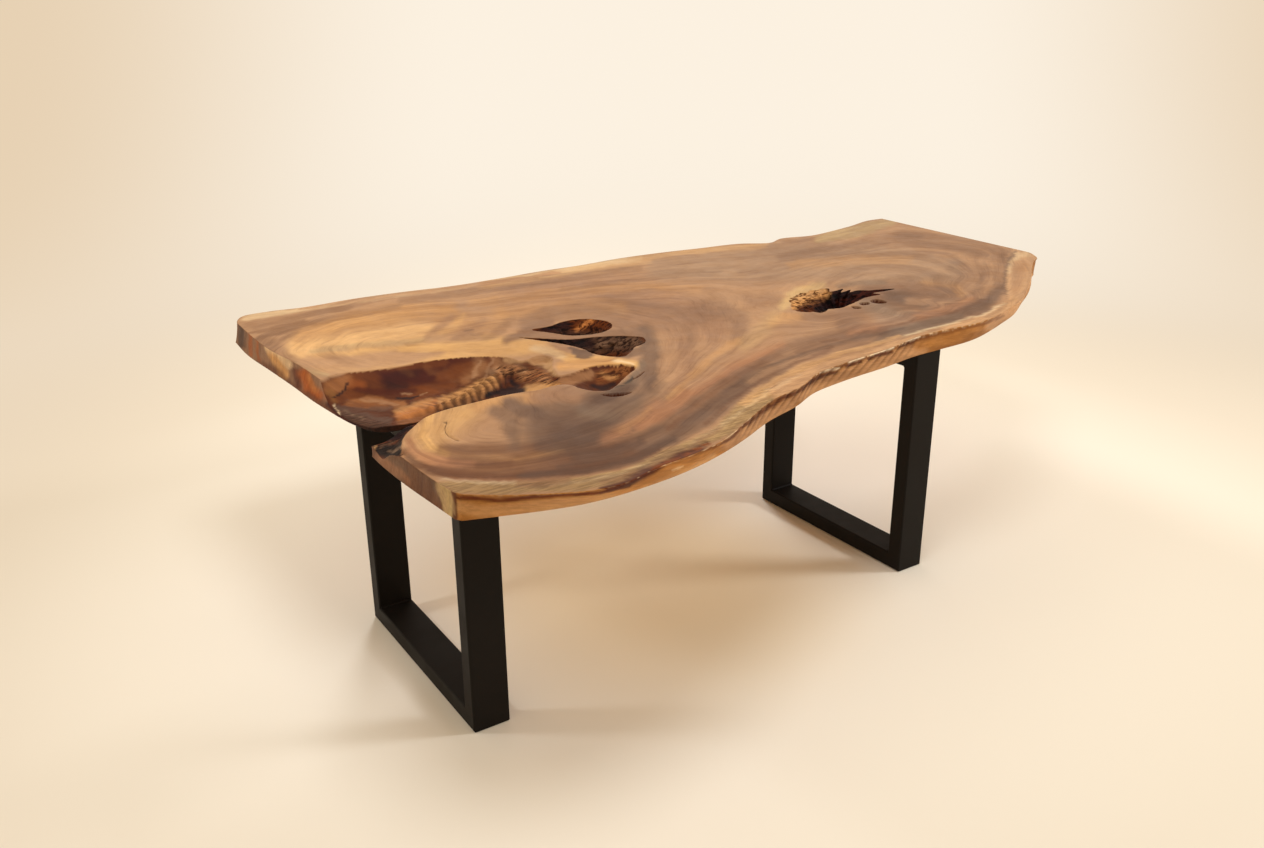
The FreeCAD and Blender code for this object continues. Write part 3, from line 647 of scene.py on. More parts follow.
# Strokes of colour, laid in order: the name, the colour, its strength, its half width
# and soft border in picture pixels, and its lines. A name in place of a line is a fill.
TOP_STROKES = [
    ("middle", HEART, 0.95, 16, 22, [(520, 300), (600, 300), (680, 312), (715, 325)]),
    ("middle shade", UMBER, 0.45, 7, 14, [(610, 305), (650, 318), (690, 318), (720, 305)]),
    ("right near field", HEART, 0.7, 8, 12, [(800, 335), (860, 318), (930, 308)]),
    ("right end", UMBER, 0.6, 5, 9, [(900, 238), (940, 242), (985, 250), (1005, 256)]),
    ("near belt", UMBER, 0.9, 16, 18, [(560, 455), (640, 435), (700, 400), (760, 362), (850, 330)]),
    ("near belt left", PLUM, 0.85, 8, 9, [(430, 468), (500, 470), (570, 462), (640, 447)]),
    ("lobe heart", SMOKE, 0.95, 24, 30, [(545, 428), (580, 422), (600, 412)]),
    ("lobe dark heart", DUSK, 0.75, 9, 16, [(560, 432), (585, 430), (608, 421)]),
    ("lobe head", LOBE_TAN, 0.98, 15, 24, [(425, 440), (438, 425), (462, 410)]),
    ("lobe head light", HONEY, 0.35, 7, 10, [(438, 432), (446, 420), (468, 408)]),
    ("lobe rim", AMBER, 0.7, 5, 8, [(478, 405), (510, 398), (532, 395)]),
    ("lobe rim dim", UMBER, 0.6, 1.5, 4, [(500, 392), (516, 390), (536, 389)]),
    ("lobe rim right", HEART, 0.8, 4, 8, [(535, 397), (560, 394), (580, 398)]),
    ("lobe bright arc", HONEY, 0.95, 2, 4, [(432, 412), (424, 424), (423, 436), (430, 446), (446, 454)]),
    ("lobe inner arc", AMBER, 0.35, 1.5, 4, [(448, 456), (478, 458), (520, 457), (560, 450)]),
    ("lobe rose arc", ROSE, 0.8, 3, 5, [(409, 440), (412, 450), (426, 458), (455, 463), (470, 464)]),
    ("lobe dark arc", PLUM, 0.75, 3.5, 7, [(440, 449), (462, 451), (490, 449), (520, 451), (548, 446)]),
    ("lobe bay edge", SMOKE, 0.7, 5, 8, [(494, 411), (507, 418), (512, 430), (514, 444)]),
    ("lobe low shade", PLUM, 0.5, 3, 6, [(452, 461), (480, 463), (510, 464)]),
    ("lobe left arc", PLUM, 0.8, 2.5, 5, [(405, 452), (414, 463), (432, 470), (462, 474)]),
    ("lobe dark bay", SMOKE, 0.95, 7, 8, [(508, 404), (520, 410), (540, 414)]),
    ("lobe blue bay", SMOKE, 0.5, 3, 6, [(506, 408), (512, 402), (520, 400)]),
    ("lobe blue streak", DUSK, 0.7, 4, 9, [(540, 446), (575, 446), (600, 440)]),
    ("lobe blue streak 2", DUSK, 0.75, 3, 7, [(575, 458), (610, 454), (642, 443)]),
    ("lobe blue streak 3", DUSK, 0.6, 2, 5, [(560, 468), (590, 462), (630, 460)]),
    ("lobe swirl", ROSE, 0.6, 2, 9, [(606, 439), (618, 433), (634, 424), (645, 414), (656, 404)]),
    ("lobe swirl light", AMBER, 0.3, 1, 4, [(618, 431), (638, 420), (650, 409)]),
    ("lobe swirl line", DUSK, 0.5, 0.6, 2, [(600, 445), (620, 437), (640, 425), (652, 412)]),
    ("golden arm", BUTTER, 0.9, 9, 14, [(298, 348), (340, 338), (390, 330), (425, 330)]),
    ("golden arm low", HONEY, 0.8, 8, 9, [(320, 362), (400, 353), (480, 346), (540, 347)]),
    ("golden arm top", AMBER, 0.7, 5, 9, [(300, 336), (350, 322), (400, 314), (450, 310)]),
    ("arm streak", TAN, 0.25, 1.5, 4, [(300, 341), (350, 330), (410, 322), (450, 318)]),
    ("arm streak 2", SAP_CREAM, 0.6, 1.2, 3, [(310, 352), (360, 345), (430, 340)]),
    ("arm streak 3", HEART, 0.25, 1.2, 3, [(340, 349), (400, 344), (450, 341)]),
    ("corner shade", UMBER, 0.5, 3, 8, [(258, 340), (275, 350), (300, 366)]),
    ("corner frayed", SAP_CREAM, 0.7, 1.5, 3, [(296, 364), (310, 370), (326, 375)]),
    ("feathers", AMBER, 0.45, 8, 12, [(440, 322), (480, 325), (500, 320)]),
    ("feather shades", HEART, 0.6, 2.2, 5,
     [(455, 338), (468, 330), (484, 320)],
     [(428, 336), (442, 326), (452, 316)]),
    ("feather shade grey", UMBER, 0.5, 2, 5, [(482, 342), (500, 330), (512, 318)]),
    ("feather light", HONEY, 0.5, 1.6, 4, [(440, 334), (455, 325), (464, 315)]),
    ("dark eye", UMBER, 0.8, 0.3, 1.2, [(464, 331), (469, 330), (474, 329.5)]),
    ("arm low shade", TAN, 0.95, 4, 7, [(302, 364), (350, 362), (400, 358), (440, 351)]),
    ("feather low", TAN, 0.6, 3, 6, [(428, 341), (450, 340), (478, 338)]),
    ("feather grey", UMBER, 0.4, 1.5, 4, [(452, 340), (468, 336), (482, 334)]),
    ("bright streak", HONEY, 0.95, 2.5, 4, [(400, 349), (450, 346), (500, 345), (550, 350)]),
    ("bright tongue", HONEY, 1.0, 3.5, 3, [(550, 350), (570, 358), (600, 360), (618, 362), (636, 364)]),
    ("tongue root", AMBER, 0.9, 4, 4, [(560, 366), (590, 363), (612, 361)]),
    ("beside tongue", SMOKE, 0.85, 3, 3, [(612, 353), (628, 355), (642, 350), (648, 340)]),
    ("tongue start", SAP_EDGE, 0.7, 2.5, 4, [(534, 349), (548, 351), (562, 355)]),
    ("tongue tip", SAP_PALE, 0.6, 0.5, 1.5, [(612, 359.5), (624, 361), (633, 363.5)]),
    ("far dark streaks", PLUM, 0.35, 1, 4, [(262, 336), (300, 326), (350, 315), (400, 306)]),
    ("far dark streaks 2", PLUM, 0.3, 1, 3, [(255, 328), (300, 317), (350, 307)]),
    ("corner line", PLUM, 0.55, 0.6, 2, [(246, 334), (275, 328), (305, 321)]),
    ("corner line 2", PLUM, 0.3, 0.6, 2, [(250, 341), (275, 335), (300, 329)]),
    ("corner line 3", UMBER, 0.5, 0.6, 2, [(256, 348), (276, 341), (298, 333)]),
    ("far dark streaks 3", UMBER, 0.5, 1.2, 4, [(400, 301), (480, 290), (560, 280), (640, 268)]),
    ("far dark streaks 4", UMBER, 0.5, 1, 4, [(560, 290), (640, 279), (720, 272)]),
    ("far light streak", AMBER, 0.4, 1.5, 5, [(470, 303), (560, 292), (650, 286), (700, 290)]),
    ("above voids", AMBER, 0.4, 5, 10, [(500, 312), (560, 308), (620, 308)]),
    ("void surround", UMBER, 0.6, 4, 8, [(525, 322), (545, 315), (580, 312), (615, 318), (636, 330)]),
    ("right of voids", SMOKE, 0.85, 6, 10, [(644, 332), (651, 348), (648, 368), (652, 385)]),
    ("middle swirl dark", UMBER, 0.5, 2, 6, [(684, 326), (692, 342), (690, 360)]),
    ("swirl brown", HEART, 0.7, 5, 8, [(682, 340), (688, 358), (684, 374), (676, 388)]),
    ("swirl brown right", UMBER, 0.7, 7, 10, [(724, 312), (740, 320), (738, 340)]),
    ("left of voids", UMBER, 0.9, 3, 6, [(506, 341), (520, 335), (536, 327), (550, 322)]),
    ("right of bridge", SMOKE, 0.4, 3, 5, [(644, 330), (652, 333), (656, 342)]),
    ("void bridge", UMBER, 0.8, 4, 5, [(520, 333), (560, 337), (600, 335), (640, 335)]),
    ("moon", SMOKE, 0.95, 1, 1.5, "moon"),
    ("right of scoop", ASH, 0.9, 4, 5, [(642, 364), (637, 376), (626, 387), (610, 391)]),
    # A near-black line painted as the shade inside a slit.
    ("right of scoop slit", DEEP_SHADE, 0.8, 0.4, 1.4, [(616, 387), (628, 381), (634, 377)]),
    ("scoop feather", TAN, 0.6, 1.2, 3, [(654, 386), (660, 378), (661, 368), (664, 358)]),
    ("below scoop wide", ASH, 0.8, 8, 8, [(584, 410), (612, 410), (636, 402)]),
    ("below scoop far", SMOKE, 0.5, 3, 7, [(616, 418), (636, 409), (650, 396), (662, 384)]),
    ("below scoop", SMOKE, 0.7, 7, 10, [(590, 402), (615, 402), (638, 390), (648, 376)]),
    ("below scoop dark", DUSK, 0.7, 3, 6, [(594, 400), (612, 398), (632, 386)]),
    ("gold streak", ROSE, 0.8, 3, 7, [(640, 426), (664, 412), (690, 392), (730, 366), (780, 342)]),
    ("gold streak tan", TAN, 0.75, 4, 8, [(690, 385), (730, 356), (780, 335), (830, 325)]),
    ("gold streak amber", AMBER, 0.45, 1.5, 4, [(668, 398), (690, 378), (716, 354), (740, 340)]),
    ("purple streaks", DUSK, 0.58, 1.7, 4.5,
     [(640, 440), (700, 412), (745, 378), (790, 356)],
     [(660, 444), (710, 410), (750, 384), (790, 366)]),
    ("purple streak plum", PLUM, 0.6, 1.2, 4, [(668, 428), (700, 402), (736, 376), (780, 356)]),
    ("belt low", SMOKE, 0.75, 4, 6,
     [(640, 452), (672, 438), (692, 427), (708, 418), (724, 406), (738, 395)]),
    ("belt glow", TAN, 0.5, 4, 8, [(752, 380), (775, 367), (800, 353), (850, 343)]),
    ("near dark line", PLUM, 0.8, 1.8, 4, [(440, 475), (500, 477), (560, 473), (620, 463), (660, 450)]),
    ("near rose line", ROSE, 0.45, 1, 3, [(450, 480), (520, 481), (580, 476), (630, 466)]),
    ("right belt", UMBER, 0.8, 4, 8,
     [(800, 350), (850, 339), (900, 328), (950, 316), (985, 305), (1000, 290)]),
    ("right dark arc", SMOKE, 0.8, 2.5, 6, [(880, 334), (915, 326), (955, 315), (988, 303), (1001, 288)]),
    ("right upper arc", UMBER, 0.5, 2, 5, [(890, 322), (930, 314), (960, 305), (978, 293), (985, 275)]),
    ("right dark arc 2", UMBER, 0.6, 3, 6, [(998, 285), (1001, 268), (1002, 256)]),
    ("right warm arc", ROSE, 0.5, 2, 5, [(850, 332), (900, 321), (945, 310), (972, 298)]),
    ("right far shade", UMBER, 0.65, 6, 10, [(955, 266), (972, 276), (985, 272)]),
    ("eye shade", UMBER, 0.95, 10, 14, [(868, 294), (910, 294), (950, 290)]),
    ("eye dark", SMOKE, 0.8, 3.5, 8, [(888, 296), (905, 298), (922, 304)]),
    ("eye grey", ASH, 0.5, 4, 7, [(864, 302), (884, 309), (910, 315)]),
    ("eye light", TAN, 0.7, 2, 5, [(908, 301), (920, 302), (930, 300)]),
    ("eye ring light", AMBER, 0.35, 2, 5, [(925, 281), (955, 285), (962, 297)]),
    ("eye ring dark", UMBER, 0.4, 1.5, 5, [(880, 283), (925, 277), (960, 281), (972, 292)]),
    ("under right void", UMBER, 0.5, 2, 6, [(800, 316), (830, 315), (870, 309)]),
    ("over right void", ASH, 0.6, 1.2, 3.5, [(838, 286), (860, 283), (885, 283)]),
    ("void halo", PALE_OCHRE, 0.8, 2, 6, [(782, 306), (789, 299), (800, 292), (822, 285)]),
    ("void halo low", AMBER, 0.6, 3, 6, [(772, 322), (784, 317), (798, 317)]),
    ("halo tail", PALE_OCHRE, 0.3, 4, 9, [(745, 345), (762, 330), (775, 315)]),
    # A greyish haze painted on the top as the sheen's reflection of the pale backdrop.
    ("right haze", PAINTED_REFLECTION, 0.35, 12, 14, [(660, 266), (740, 263), (820, 262), (900, 264), (950, 270)]),
    ("right haze 2", PAINTED_REFLECTION, 0.35, 6, 8, [(862, 302), (890, 320), (930, 340)]),
    ("far right streak", UMBER, 0.6, 1.5, 5, [(780, 257), (830, 249), (880, 240), (920, 236)]),
    ("far right streak 2", UMBER, 0.4, 1.5, 5, [(740, 272), (800, 262), (850, 256), (930, 254)]),
    ("far right light", AMBER, 0.35, 2, 5, [(790, 265), (850, 260), (910, 259)]),
    ("far sapwood", SAP_EDGE, 0.9, 1.2, 3, [(243, 319), (350, 301), (450, 287), (560, 271), (640, 257)]),
    ("far sapwood dim", SAP_TAN, 0.7, 1.6, 3.5, [(630, 259), (700, 250), (765, 245)]),
    ("far sap line", SAP_EDGE, 0.6, 0.8, 2.5, [(540, 277), (590, 268), (640, 260)]),
    ("far sap tongue", SAP_TAN, 0.6, 1.5, 4, [(480, 285), (540, 276), (600, 268), (650, 261)]),
    ("far bark line", ROSE, 0.6, 0.8, 2, [(300, 309), (380, 297), (470, 285), (560, 272)]),
    ("knot at far edge", UMBER, 0.4, 0.8, 3, [(782, 241), (796, 240), (812, 239)]),
    ("pale corner", SAP_CREAM, 0.95, 4, 4, [(818, 239), (850, 232), (875, 226), (892, 223)]),
    ("band foot line", DUSK, 0.7, 2, 4,
     [(520, 476), (560, 474), (590, 470), (620, 464), (650, 451), (675, 439)]),
    ("near band", OLIVE_GREY, 0.95, 5, 3, "near band left", "near band middle"),
    ("near band upper", SAP_TAN, 0.7, 2, 4, [(745, 404), (780, 386), (800, 374)]),
    ("near band right", SAP_WARM, 0.95, 4, 3, "near band right"),
    ("band top line", SAP_PALE, 0.45, 0.5, 1.4, [(438, 480), (480, 483), (515, 482)]),
    ("band pale streaks", SAP_PALE, 0.22, 0.5, 2.2,
     [(545, 485), (590, 481), (620, 474), (648, 464)],
     [(690, 446), (730, 420), (770, 390), (800, 374)]),
    ("band dark streak", UMBER, 0.6, 1, 2.5, [(600, 483), (640, 472), (680, 455), (720, 428)]),
    ("band dark streak 2", UMBER, 0.4, 0.8, 2, [(800, 368), (850, 353), (900, 339), (940, 329)]),
    ("right belt grey", ASH, 0.5, 2, 4, [(876, 341), (910, 331), (945, 321), (962, 316)]),
    ("band crisp edge", SAP_TAN, 0.8, 1.5, 1.5,
     [(738, 406), (760, 389), (790, 373.5), (820, 361), (860, 347.5), (900, 336)]),
    ("band dim", UMBER, 0.6, 2.5, 3, [(518, 485), (545, 484), (570, 480)]),
    ("band shade", SMOKE, 0.6, 1.5, 3, [(640, 470), (655, 461), (672, 453), (684, 449)]),
    ("band bark", MAHOGANY, 0.85, 2.2, 2.5,
     [(600, 489), (620, 483.5), (650, 472), (670, 461.5), (692, 452), (710, 443)]),
    ("band bark red", RUST, 0.5, 0.7, 1.6,
     [(652, 471), (664, 464), (678, 458)],
     [(684, 456), (696, 450), (708, 444)]),
    ("end block", SAP_WARM, 0.95, 0, 2.5, "end block"),
    # A pale patch painted as the highlight on the end block's upper left.
    ("end block light", SAP_EDGE, 0.7, 1.2, 3, [(1009, 272), (1011, 262), (1018, 255), (1028, 254)]),
    ("end block orange", SIENNA, 0.3, 3, 6, [(1024, 264), (1020, 278), (1016, 290)]),
    ("end block line", SMOKE, 0.8, 0.6, 2,
     [(1015, 252), (1008.5, 260), (1005.5, 271), (1004.5, 285), (1006, 294)]),
    ("near line 1", PLUM, 0.6, 0.7, 1.6, [(705, 424), (733, 400), (760, 382), (792, 365), (832, 349)]),
    ("near line 2", DUSK, 0.5, 0.6, 1.5,
     [(700, 414), (730, 388), (765, 368), (800, 354), (850, 340), (905, 327)]),
    ("near line 3", PLUM, 0.5, 0.6, 1.5, [(820, 342), (870, 332), (920, 319), (958, 311), (990, 297)]),
    ("near line 4", UMBER, 0.5, 0.6, 1.5, [(840, 332), (885, 322), (925, 311), (955, 302), (978, 289)]),
    ("band upper line", SAP_PALE, 0.6, 0.3, 1.2,
     [(905, 336), (930, 329), (955, 322), (980, 315), (1004, 304)]),
    ("band inner shade", UMBER, 0.4, 0.8, 2, [(984, 317), (1000, 310), (1010, 300)]),
]
RECESS_STROKES = [
    ("far bank", UMBRA, 1.0, 10, 14, [(384, 378), (420, 372), (450, 368)]),
    ("bank right", WINE, 0.9, 6, 8, [(455, 372), (468, 368), (490, 364)]),
    ("bank right light", SIENNA, 0.8, 2.5, 6, [(464, 380), (472, 374), (482, 366)]),
    ("bank right edge", MAHOGANY, 0.6, 2, 4, [(440, 364), (460, 360), (490, 358)]),
    ("bank blush", WINE, 0.6, 2, 5, [(376, 368), (396, 366), (420, 364), (445, 363)]),
    ("bank streaks", SIENNA, 0.22, 0.6, 5,
     [(399, 367), (404, 371), (412, 374)],
     [(424, 366), (430, 371), (440, 373)],
     [(446, 370), (450, 377), (456, 382)]),
    ("bank foot", NIGHT, 0.6, 1.5, 7, [(368, 387), (386, 389), (404, 388)]),
    ("bank foot right", WINE, 0.8, 3, 6, [(410, 392), (430, 389), (452, 387)]),
    ("left wall", SIENNA, 1.0, 9, 6, [(328, 387), (338, 385), (350, 380)]),
    ("left wall top", TAN, 0.95, 3.5, 4, [(322, 378), (330, 374), (343, 371)]),
    ("left wall blush", CINNAMON, 0.6, 3, 5, [(330, 392), (333, 399)]),
    ("left of bank", WINE, 0.85, 3, 10, [(358, 376), (358, 386), (350, 394)]),
    ("bank left blend", WINE, 0.6, 3, 9, [(364, 374), (372, 380), (377, 388)]),
    ("left blush", RUST, 0.35, 3, 6, [(352, 384), (362, 386)]),
    ("golden floor", SIENNA, 0.95, 4, 4, [(348, 403), (372, 403), (402, 404)]),
    ("floor gold", TAN, 0.4, 0.8, 2.5, [(362, 401), (380, 402), (398, 405)]),
    ("floor shade", WINE, 0.5, 0.8, 2.5, [(344, 405), (366, 405.5), (390, 406)]),
    ("left floor", WINE, 0.8, 3, 5, [(336, 398), (346, 397), (360, 395)]),
    ("middle floor", WINE, 0.9, 3, 5, [(404, 395), (420, 396), (432, 393)]),
    ("floor dim", MAHOGANY, 0.8, 1.5, 4, [(356, 390), (372, 392), (392, 393), (414, 391)]),
    ("floor streak", NIGHT, 0.95, 0.9, 1.6, [(396, 398), (407, 398.5), (418, 397)]),
    ("floor glints", TAN, 0.45, 0.2, 1, [(400, 394.5), (406, 393.5), (412, 394)], [(420, 396), (428, 394)]),
    ("floor dark vein", MAUVE, 0.6, 1, 2.5, [(345, 408), (370, 409), (392, 408)]),
    ("lip", MAUVE, 1.0, 5, 4, [(338, 409), (352, 416), (372, 420), (388, 421)]),
    ("lip shadow", SHADOW_BLACK, 0.8, 1.5, 3, [(330, 410), (340, 418), (352, 425), (366, 429)]),
    ("lip edge", BARK, 0.9, 2.5, 3, [(345, 419), (360, 425), (378, 428), (396, 427)]),
    ("lip pale", ASH, 0.5, 0.8, 2, [(346, 411), (354, 416), (362, 419)]),
    # The root is painted lighter along its top as a highlight and darker under its tube as shade.
    ("root tube", GINGER, 0.95, 5.5, 5, [(400, 415), (420, 409), (445, 403)]),
    ("root tube shade", SIENNA, 0.6, 1.5, 4, [(402, 424), (418, 418), (436, 411)]),
    ("root tube light", AMBER, 0.4, 1.5, 3.5, [(398, 411), (416, 405), (432, 402)]),
    ("root", RUSSET, 0.95, 5, 5, [(442, 403), (465, 396), (485, 388), (502, 377)]),
    ("root crest", AMBER, 0.75, 2, 4, [(440, 401), (462, 394), (478, 386), (494, 378)]),
    ("root glow", AMBER, 0.5, 2.5, 4, [(444, 406), (466, 400), (486, 391), (496, 382)]),
    ("root foot", WINE, 0.35, 1, 3, [(450, 405), (470, 400), (490, 392)]),
    # The cavity and its slit are painted near-black as the shade of a deep pit.
    ("cavity", NIGHT, 1.0, 2.5, 3, [(484, 396), (500, 392), (518, 391), (534, 390)]),
    ("cavity slit", NIGHT, 1.0, 3.5, 3.5, [(512, 380), (517, 385)]),
    ("bank end", FAWN, 0.75, 3, 6, [(493, 357), (498, 366), (502, 374)]),
    ("bank end rose", FAWN, 0.6, 4, 8, [(478, 360), (482, 370), (470, 376)]),
    ("bank dark", NIGHT, 0.35, 4, 7, [(386, 380), (402, 377), (416, 372)]),
    ("bank low", WINE, 0.7, 4, 7, [(440, 376), (456, 374), (468, 370)]),
    ("bank end light", TAN, 0.6, 2, 5, [(490, 372), (500, 370), (508, 372)]),
    ("bank pale streaks", TAN, 0.45, 0.45, 2,
     [(484, 378), (487, 368), (492, 360)],
     [(474, 378), (478, 368), (480, 361)]),
    ("shelf", FAWN, 0.9, 6, 7, [(505, 369), (525, 373), (545, 377)]),
    ("shelf top", SAP_TAN, 0.6, 2, 4, [(505, 360), (518, 360), (528, 358)]),
    ("shelf mottle dark", MAHOGANY, 0.7, 1.5, 3, [(507, 378), (512, 377), (518, 376)]),
    ("shelf mottle red", WINE, 0.65, 1.2, 3,
     [(524, 364), (532, 368), (543, 368)],
     [(527, 381), (534, 377), (540, 374)]),
    ("shelf mottle tan", TAN, 0.7, 1.5, 3, [(520, 372), (526, 370)]),
    ("knob", SIENNA, 0.9, 3, 4, [(532, 361), (545, 361)]),
    ("knob dark", WINE, 0.6, 1, 3, [(530, 358), (538, 357), (548, 359)]),
    ("shelf light", SAP_TAN, 0.7, 3, 5, [(545, 356), (550, 366), (560, 372), (575, 368)]),
    ("knob light", SAP_TAN, 0.6, 3, 5, [(526, 356), (536, 362), (550, 362)]),
    ("shelf foot", AMBER, 0.85, 3, 5, [(528, 389), (542, 388), (562, 387)]),
    ("scoop left", FAWN, 1.0, 6, 5, [(565, 382), (578, 378), (590, 374)]),
    ("scoop red", SIENNA, 0.9, 8, 6, [(600, 376), (625, 370)]),
    ("scoop top", MAHOGANY, 0.8, 1.5, 3, [(594, 369), (606, 366), (622, 365)]),
    ("scoop veins", WINE, 0.8, 1, 2.5, [(592, 378), (604, 380), (612, 374), (622, 374)]),
    ("scoop light", AMBER, 0.5, 1.2, 3, [(602, 374), (610, 378), (618, 376)]),
    ("scoop hole", NIGHT, 0.95, 2, 3.5, [(594, 386), (602, 388), (614, 384)]),
    ("nose bark", NOSE_BARK, 1.0, 9, 4, [(374, 449), (388, 452), (400, 450), (406, 438)]),
    ("nose glints", ASH, 0.8, 0.4, 1.6, [(385, 452), (393, 452), (400, 447)]),
    ("nose glints dim", SMOKE, 0.8, 0.4, 1.6, [(380, 447), (388, 444), (397, 438)]),
    ("gap shade", NIGHT, 1.0, 3, 1.5, [(386, 440), (396, 436.5), (404, 431), (412, 426)]),
    # A thin pale line painted as the highlight on the nose's rounded rim.
    ("nose rim", SAP_TAN, 0.8, 0.6, 1.6, [(377, 445), (373, 448), (374, 454)]),
    # A pale line painted as the highlight on the lip's rounded edge.
    ("lip worn edge", SAP_PALE, 0.7, 0.3, 1.0, [(332, 404), (336, 409), (342, 415)]),
    ("left crack", NIGHT, 0.95, 0.6, 1.4, [(348, 383), (346, 388), (338, 393), (331, 397)]),
]
FAR_LOBE_STROKES = [
    ("dark corner", BARK, 0.9, 3, 4, [(241, 325), (242, 345)]),
    ("red stripes", RUST, 0.65, 1, 2, [(249, 332), (251, 356)], [(256, 340), (259, 360)]),
    ("gold grain", AMBER, 0.95, 11, 4, [(272, 344), (284, 374)]),
    ("gold light", SAP_EDGE, 0.85, 5, 5, [(270, 346), (280, 354), (288, 364)]),
    ("dark patch", CHOCOLATE, 0.8, 2.5, 3, [(295, 370), (298, 386)]),
    ("orange", RUST, 0.95, 7, 6, [(303, 374), (310, 388), (318, 396)]),
    ("orange light", GINGER, 0.7, 2.5, 4, [(308, 376), (316, 390)]),
    # Painted shade on the end face below the lip, in a dark bark colour.
    ("under lip", BARK_DARK, 1.0, 4, 3, [(328, 404), (340, 414), (352, 423), (368, 431)]),
    ("low shade", CHOCOLATE, 0.6, 2.5, 5, [(262, 364), (290, 386), (325, 408), (345, 420)]),
]
NEAR_LOBE_STROKES = [
    ("plum", SMOKE, 1.0, 20, 10, [(385, 460), (405, 475), (430, 490)]),
    ("warm", PLUM, 0.8, 6, 8, [(410, 482), (430, 496)]),
    ("rose", ROSE, 0.45, 2, 5, [(378, 457), (392, 468), (408, 482)]),
    ("bark stripe", PLUM, 0.6, 2.5, 5, [(400, 456), (412, 470), (430, 486)]),
    ("pale facet", PALE_OLIVE, 1.0, 9.5, 2, [(444, 478), (445, 490), (449, 518)]),
    ("pale streak", SAP_CREAM, 0.8, 1.2, 3, [(438, 484), (446, 512)]),
    ("pale streak 2", SAP_CREAM, 0.5, 1, 2, [(450, 493), (455, 514)]),
]
NEAR_WALL_STROKES = [
    ("golden side", GOLDEN, 0.9, 20, 10, [(460, 506), (560, 500), (640, 485), (720, 450)]),
    ("amber glow", SAP_TAN, 0.7, 3, 6,
     [(424, 503), (480, 510), (560, 505), (620, 500), (660, 486), (700, 466)]),
    ("low glow", SAP_TAN, 0.8, 3.5, 5,
     [(535, 512), (580, 510), (620, 503), (650, 495), (680, 481), (704, 466), (714, 458)]),
    ("middle side", SAP_WARM, 0.7, 6, 8, [(730, 444), (790, 404)]),
    ("right side", SAP_WARM, 0.6, 5, 8, [(800, 396), (860, 370), (920, 350)]),
    ("far right side", GOLDEN, 0.9, 4, 6, [(920, 345), (985, 325)]),
    ("right tip", SAP_WARM, 0.8, 4, 6, [(990, 326), (1012, 308), (1030, 278)]),
    ("bark line", OXBLOOD, 0.9, 0.9, 2, [(456, 497.5), (502, 499), (550, 497), (601, 493), (630, 486)]),
    ("bark", OXBLOOD, 0.95, 2.2, 3, [(606, 489), (626, 484), (646, 475), (664, 463)]),
    ("bark right", OXBLOOD, 0.6, 0.8, 2, [(664, 463), (690, 454), (720, 444)]),
    ("bark core", MAHOGANY, 0.8, 0.8, 2, [(600, 493), (630, 484), (652, 473)]),
    ("bark chips", SAP_PALE, 0.6, 0.3, 1.1, [(670, 470), (676, 468), (681, 466)]),
    ("ridge shade", OXBLOOD, 0.8, 0.7, 2, [(722, 443), (737, 433), (751, 421), (775, 402), (803, 389)]),
    ("pockets", MAHOGANY, 0.88, 0.82, 2,
     [(803, 388), (820, 377), (836, 371)],
     [(846, 366), (860, 362)],
     [(868, 359), (880, 355), (892, 352)],
     [(900, 347), (914, 342)]),
    ("right shade", OXBLOOD, 0.5, 0.6, 2, [(916, 341), (940, 334), (980, 325), (1004, 316)]),
    ("chips", CHIP, 0.88, 0.45, 1.4,
     [(820, 373), (830, 369), (838, 366.5)],
     [(849, 362), (864, 357)],
     [(871, 355), (882, 351), (893, 347.5)],
     [(904, 342), (920, 336.5)]),
    # A thin pale line painted as the highlight along the ridge.
    ("ridge light", SAP_PALE, 0.7, 0.3, 1.2, [(716, 443), (736, 430), (750, 418)]),
]
# Inside the voids the near-black strokes are painted shade, where light does not reach the walls.
VOID_STROKES = [
    ("far void dark", DEEP_SHADE, 0.9, 6, 6, [(545, 328), (566, 327)]),
    ("far void glint", GINGER, 0.9, 1.8, 3, [(576, 331), (583, 325), (590, 321)]),
    ("middle void", BARK, 1.0, 12, 8, [(560, 341), (635, 344)]),
    ("middle void dark", DEEP_SHADE, 0.9, 5, 7, [(545, 339), (590, 343)]),
    ("middle void grey", SMOKE, 0.6, 3, 4, [(600, 344), (618, 344), (636, 341)]),
    ("right void", DEEP_SHADE, 1.0, 14, 8, [(820, 304), (890, 291)]),
    ("right void right", UMBRA, 0.85, 3, 4, [(838, 304), (850, 299), (866, 294), (880, 291)]),
    ("right void top", DEEP_SHADE, 0.8, 1.5, 3, [(822, 290), (850, 289), (880, 288)]),
    ("right void bank", AMBER, 1.0, 7, 4, [(794, 306), (806, 300), (826, 294)]),
    ("right void bank light", SAP_TAN, 0.85, 1.8, 3, [(794, 300), (806, 295), (824, 289)]),
    ("right void bank shade", MAHOGANY, 0.8, 1.5, 3, [(798, 309), (810, 304), (824, 298)]),
]
CLEFT_STROKES = [
    # Near-black painted shade at the foot of the cleft.
    ("cleft foot", SHADOW_BLACK, 1.0, 2.5, 2, [(356, 430), (378, 436), (400, 434), (418, 428)]),
]
